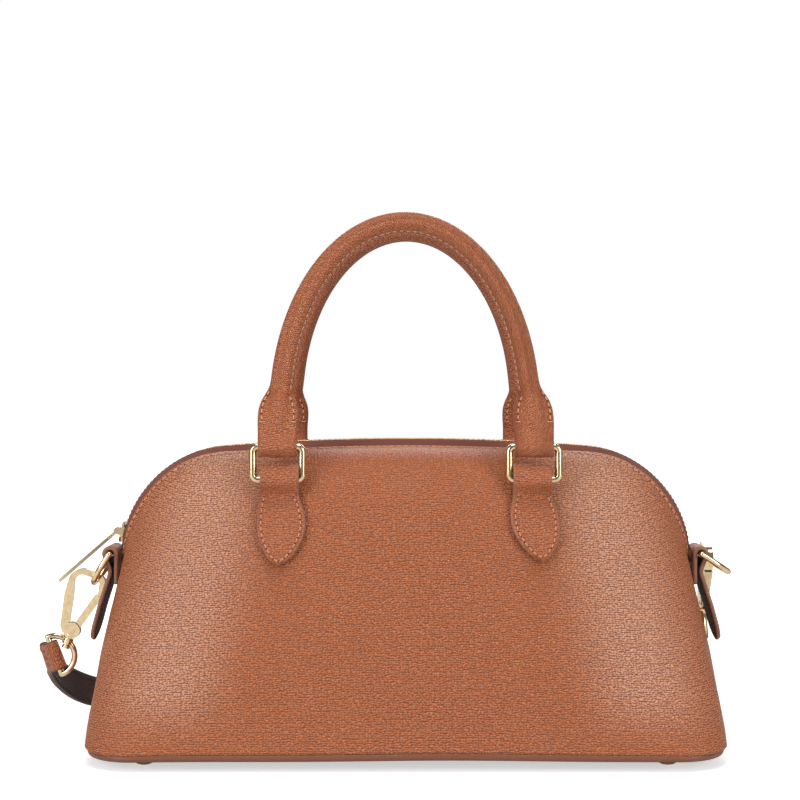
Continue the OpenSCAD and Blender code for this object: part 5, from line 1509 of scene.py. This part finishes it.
class Strap:
    """The shoulder strap: folded ends, two bending runs and the standing runs round the buckle."""

    RING_R, RING_TURN, COLLAR_TURN, COLLAR_Z = 10.2, 51.0, 27.7, 4.6655
    END_LEG, LOOP_R = 12.1, 3.96
    SEAM_IN, THREAD_LIFT = 2.2, 0.12

    def __init__(self, size: StrapSize, finishes: Finishes) -> None:
        """Args: size, the sizes; finishes, the materials."""
        self.size = size
        self.finishes = finishes
        self.left = ClaspPlace((-176.4, 0, 48.8), ((17.7, "Y"),), -60.0, "left")
        self.right = ClaspPlace((158.6, 24.3, 60.7), ((15.0, "X"), (-90.0, "Z")), 0.0, "right")
        turn, collar = math.radians(self.RING_TURN), math.radians(self.COLLAR_TURN)
        self.bar_way = Vector((math.cos(turn), 0, -math.sin(turn)))
        bow = Vector((math.sin(turn), 0, math.cos(turn)))
        self.bar_mid = (Vector((0, 0, self.COLLAR_Z))
                        - self.RING_R * (math.cos(collar) * bow - math.sin(collar) * self.bar_way))

    @property
    def leather(self) -> list[bpy.types.Material]:
        """Returns the strap's finishes: outer face, edge, inner face, thread and hole."""
        f = self.finishes
        return [f.leather_small, f.edge_dark, f.backing, f.thread_tan, f.pit, f.thread_dark]

    def ring_frame(self, place: ClaspPlace) -> Matrix:
        """Returns the frame of a strap end: origin on the bar, x to the bow, y along it."""
        return (place.frame() @ Matrix.Translation(self.bar_mid)
                @ Matrix.Rotation(math.radians(90), 4, "X")
                @ Matrix.Rotation(math.radians(90 - self.RING_TURN), 4, "Z")
                @ Matrix.Rotation(math.radians(place.end_turn), 4, "Y"))

    def strap_end(self, place: ClaspPlace) -> bpy.types.Object:
        """Returns the leather folded round a ring's bar, sewn behind it."""
        s = self.size
        turn = np.radians(np.linspace(125, -125, 36))
        arc = self.LOOP_R * np.stack([np.cos(turn), np.sin(turn)], axis=1)
        legs = [(-self.END_LEG, s.thick), (-6.0, s.thick)]
        path = curve_points([*legs, *map(tuple, arc), *[(x, -z) for x, z in reversed(legs)]], 0.6, 4)
        widths = np.full(len(path), s.width - 1.2)
        patches = [band(path, widths, 2.2)]
        y = np.linspace(-5.6, 5.6, 12)
        for face in (1.0, -1.0):
            for x in (-7.2, -10.6):
                lift = face * (s.thick + self.THREAD_LIFT)
                line = np.stack([np.full(12, x), y, np.full(12, lift)], axis=1)
                out = np.broadcast_to(np.array([0.0, 0.0, face]), line.shape)
                patches += stitches(line, out, STRAP_END_STITCH, finish=3)
        frame_mm = self.ring_frame(place)
        return fit(f"strap_end_{place.link}", "leather", [placed(p, frame_mm) for p in patches],
                   self.leather, f"{place.link}_link")

    def ribbon(self, path: Array, across: Array, flip: bool = False,
               sewn: bool = True) -> list[Patch]:
        """Returns a flat strap along a path, with a stitch row inside each edge.

        Args: path, its middle line; across, the ways of its width; flip, whether the outer
        face is on the other side; sewn, whether it has stitches.
        """
        s = self.size
        way = unit(np.gradient(path, axis=0))
        across = unit(across - way * np.sum(across * way, axis=1, keepdims=True))
        if flip:
            across = -across
        out = np.cross(across, way)
        share = np.linspace(-0.5, 0.5, 15)
        crown = 0.12 * (1 - (2 * share) ** 2)
        grid = (path[:, None] + across[:, None] * (share * (s.width - 0.5 * s.thick))[None, :, None]
                + out[:, None] * (s.thick / 2 + crown)[None, :, None])
        patches = [slab(grid, s.thick, (0, 1, 2), (0.5,) * 4, steps=5)]
        if sewn:
            for side in (-1.0, 1.0):
                for face, finish in ((1.0, 3), (-1.0, 5)):
                    line = (path + across * side * (s.width / 2 - self.SEAM_IN)
                            + out * face * (s.thick / 2 + self.THREAD_LIFT))
                    patches += stitches(line, out * face, STRAP_STITCH, finish=finish)
        return patches

    def run(self, place: ClaspPlace) -> bpy.types.Object:
        """Returns a bending run from a strap end to the standing strap.

        The middle line is a cubic Bezier, and the width turns from the bar's way to
        straight down.
        """
        s = self.size
        turn = math.radians(place.end_turn)
        tilt = math.radians(self.RING_TURN)
        bow = Vector((math.sin(tilt), 0, math.cos(tilt)))
        local = Vector((-bow.x * math.cos(turn), -math.sin(turn), -bow.z * math.cos(turn)))
        frame_mm = place.frame()
        leg = (frame_mm.to_3x3() @ local).normalized()
        start = frame_mm @ self.bar_mid + leg * self.END_LEG
        mid_z = s.low_z + s.width / 2
        if place.link == "left":
            far, pull, y = -s.left_x, -22.0, s.run_y
        else:
            far, pull, y = s.right_x, 34.0, s.run_y + 4 * s.turn_r + s.thick + 0.3
        points = np.array([start, start + leg * 24.0, (far + pull, y, mid_z), (far, y, mid_z)])
        t = np.linspace(0, 1, 90)[:, None]
        path = ((1 - t) ** 3 * points[0] + 3 * (1 - t) ** 2 * t * points[1]
                + 3 * (1 - t) * t ** 2 * points[2] + t ** 3 * points[3])
        bar = np.array(frame_mm.to_3x3() @ self.bar_way)
        across = bar + (np.array([0.0, 0.0, -1.0]) - bar) * t
        name = f"strap_run_{place.link}"
        patches = self.ribbon(path, across, flip=place.link == "left")
        piece = make_piece(f"{name}_leather", patches, self.leather)
        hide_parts(name)
        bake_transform(piece)
        return piece

    def standing(self) -> list[bpy.types.Object]:
        """Returns the long strap, the short strap round the buckle's bar and the keeper,
        all standing on edge behind the bag."""
        s, r = self.size, self.size.turn_r
        mid = s.low_z + s.width / 2
        long_y = s.run_y + 2 * r
        short_y = long_y + s.thick + 0.3
        last_y = short_y + 2 * r
        half = np.linspace(-90, 90, 40)

        def line(corners: Iterable[tuple[float, float]], turn_at: int, centre: tuple[float, float],
                 start: float, way: float) -> Array:
            """Returns a path of straight runs with a half circle between them."""
            ends = list(corners)
            angle = np.radians(start + way * (half + 90))
            arc = np.stack([centre[0] + r * np.cos(angle), centre[1] + r * np.sin(angle)], axis=1)
            plan = np.concatenate([np.array(ends[:turn_at]), arc, np.array(ends[turn_at:])])
            return resample(np.column_stack([plan, np.full(len(plan), mid)]), 2.0)

        long_path = line([(-s.left_x, s.run_y), (-52.0, long_y)], 1, (s.run_half, s.run_y + r), -90, 1)
        loop_r = 1.2 + 0.25 + s.thick * 0.85
        bar_y = short_y - s.thick / 2 + loop_r
        turn = np.radians(np.linspace(-90, 100, 16))
        eye = np.stack([(loop_r - 1.1) * np.cos(turn), bar_y + (loop_r - 1.1) * np.sin(turn)], axis=1)
        fold = [(-8.0, short_y + s.thick + 0.2), (-25.0, short_y + s.thick + 0.1)]
        short = line([(s.right_x, last_y), (0.0, short_y)], 1, (-s.run_half, short_y + r), 90, 1)
        fold_path = resample(np.column_stack([np.concatenate([[(-26.0, short_y)], eye, np.array(fold)]),
                                              np.full(len(eye) + 3, mid)]), 1.0)
        down = np.array([0.0, 0.0, -1.0])
        made = []
        for name, paths, flip in (("strap_long", [long_path], True),
                                  ("strap_short", [short, fold_path[26:]], False)):
            patches: list[Patch] = []
            for path in paths:
                patches += self.ribbon(path, np.broadcast_to(down, path.shape), flip,
                                       sewn=len(path) > 60)
            made.append(fit(name, "leather", patches, self.leather))
        frame_box = round_box(s.width + 3.4, short_y - long_y + s.thick + 3.4, 1.8, 8, 8)
        ring = round_box(8.0, 1.5, 0.6, 4, 3)
        outward = unit(frame_box / np.array([s.width, 6.0]))
        grid = np.stack([np.column_stack([np.full(len(frame_box), -36.0 + a),
                                          (long_y + short_y) / 2 + frame_box[:, 1] + outward[:, 1] * b,
                                          mid + frame_box[:, 0] + outward[:, 0] * b])
                         for a, b in np.concatenate([ring, ring[:1]])])
        loop = net(grid, around=True, flip=True)
        return made + [fit("strap_keeper", "leather", [loop], self.leather)]

    def build(self) -> list[bpy.types.Object]:
        """Returns all the leather of the strap."""
        pieces = [self.strap_end(place) for place in (self.left, self.right)]
        pieces += [self.run(place) for place in (self.left, self.right)]
        return pieces + self.standing()


# Metal, stage and camera


def finish_metal(finishes: Finishes) -> None:
    """Gives every imported metal node its finish."""
    gold = ["base_feet", "zip_slider", "zip_puller", "buckle_frame", "buckle_prong"]
    gold += [f"ring_{a}_{b}" for a in ("front", "back") for b in ("left", "right")]
    for side in ("left", "right"):
        gold += [f"d_ring_{side}", f"clasp_hook_{side}", f"clasp_gate_{side}", f"gate_pin_{side}",
                 f"strap_ring_{side}"]
    for name in gold:
        paint(name, finishes.gold)
    for name in ("zip_teeth_front", "zip_teeth_back", "zip_stops"):
        paint(name, finishes.teeth)


@dataclass(frozen=True)
class Lamp:
    """A soft rectangular light."""

    name: str
    place: tuple[float, float, float]
    aim: tuple[float, float, float]
    size: tuple[float, float]
    power: float

    def build(self) -> bpy.types.Object:
        """Returns the light, turned to its aim."""
        data = bpy.data.lights.new(self.name, "AREA")
        data.shape, data.energy = "RECTANGLE", self.power
        data.size, data.size_y = self.size
        made = add_object(self.name, data)
        made.location = self.place
        way = Vector(self.aim) - Vector(self.place)
        made.rotation_euler = way.to_track_quat("-Z", "Y").to_euler()
        return made


class Stage:
    """Pale floor, white surround, soft lights and the photo's camera."""

    LAMPS = (
        Lamp("left_light", (-1.05, -0.95, 0.5), (0.0, 0.0, 0.06), (0.7, 0.9), 10.4),
        Lamp("right_light", (1.05, -1.0, 0.5), (0.0, 0.0, 0.06), (0.7, 0.9), 9.4),
        Lamp("top_light", (0.0, -0.3, 1.2), (0.0, 0.0, 0.1), (0.9, 0.5), 7.5),
        Lamp("back_light", (0.1, 1.3, 0.75), (0.0, 0.0, 0.1), (1.2, 0.7), 7.0),
    )
    CAMERA_AT = (-2.85, -777.5, 178.0)
    LENS = (67.5, 36.0)  # focal length and sensor width
    FLOOR_HALF = 6.0
    SURROUND_LIGHT = 0.2

    def floor(self) -> bpy.types.Object:
        """Returns the floor, white to the camera and shaded near the object."""
        mesh = bpy.data.meshes.new("floor")
        half = self.FLOOR_HALF
        corners = [(-half, -half, 0), (half, -half, 0), (half, half, 0), (-half, half, 0)]
        mesh.from_pydata(corners, [], [(0, 1, 2, 3)])
        made = add_object("floor", mesh)
        g = Graph("floor_white")
        seen = Signal(g, g.node("ShaderNodeLightPath").outputs["Is Camera Ray"])
        x, y, _ = g.split(g.place())
        far = g.math("SQRT", x * x + y * y).band(230.0, 620.0, 0.55, 1.0)
        glow = g.mix(seen * far, (0.0, 0.0, 0.0), (1.0, 1.0, 1.0))
        mesh.materials.append(g.finish(Base_Color=(0.8, 0.8, 0.8), Roughness=0.9,
                                       Specular_IOR_Level=0.1, Emission_Color=glow,
                                       Emission_Strength=1.0))
        return made

    def world(self) -> None:
        """Sets the surround: white to the camera, softer as a light."""
        world = bpy.data.worlds.new("surround")
        bpy.context.scene.world = world
        world.use_nodes = True
        tree = world.node_tree
        tree.nodes.clear()
        path = tree.nodes.new("ShaderNodeLightPath")
        white, soft = (tree.nodes.new("ShaderNodeBackground") for _ in range(2))
        for node, strength in ((white, 1.0), (soft, self.SURROUND_LIGHT)):
            node.inputs[0].default_value = (1, 1, 1, 1)
            node.inputs[1].default_value = strength
        mix = tree.nodes.new("ShaderNodeMixShader")
        out = tree.nodes.new("ShaderNodeOutputWorld")
        tree.links.new(path.outputs["Is Camera Ray"], mix.inputs[0])
        tree.links.new(soft.outputs[0], mix.inputs[1])
        tree.links.new(white.outputs[0], mix.inputs[2])
        tree.links.new(mix.outputs[0], out.inputs[0])

    def camera(self) -> bpy.types.Object:
        """Returns the level camera of the photo."""
        data = bpy.data.cameras.new("camera")
        data.lens, data.sensor_width = self.LENS
        data.clip_start, data.clip_end = 0.05, 20.0
        made = add_object("camera", data)
        made.location = tuple(part * MM for part in self.CAMERA_AT)
        made.rotation_euler = (math.pi / 2, 0, 0)
        bpy.context.scene.camera = made
        return made

    def build(self) -> None:
        """Makes the whole stage."""
        self.world()
        self.floor()
        self.camera()
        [lamp.build() for lamp in self.LAMPS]


def main() -> None:
    """Builds the bag round the frame, then the stage."""
    logging.basicConfig(level=logging.INFO, format="%(name)s: %(message)s")
    finishes = Finishes()
    shape = BodyShape(BodySize())
    Body(shape, ZipSize(), finishes).build()
    LOG.info("body done")
    Handles(HandleSize(), shape, finishes).build()
    SideTabs(SideTabSize(), BodySize().side_top_half + 0.75, finishes).build()
    Strap(StrapSize(), finishes).build()
    finish_metal(finishes)
    LOG.info("fittings done")
    Stage().build()
    bpy.context.scene.view_settings.view_transform = "Standard"


if __name__ == "__main__":
    main()
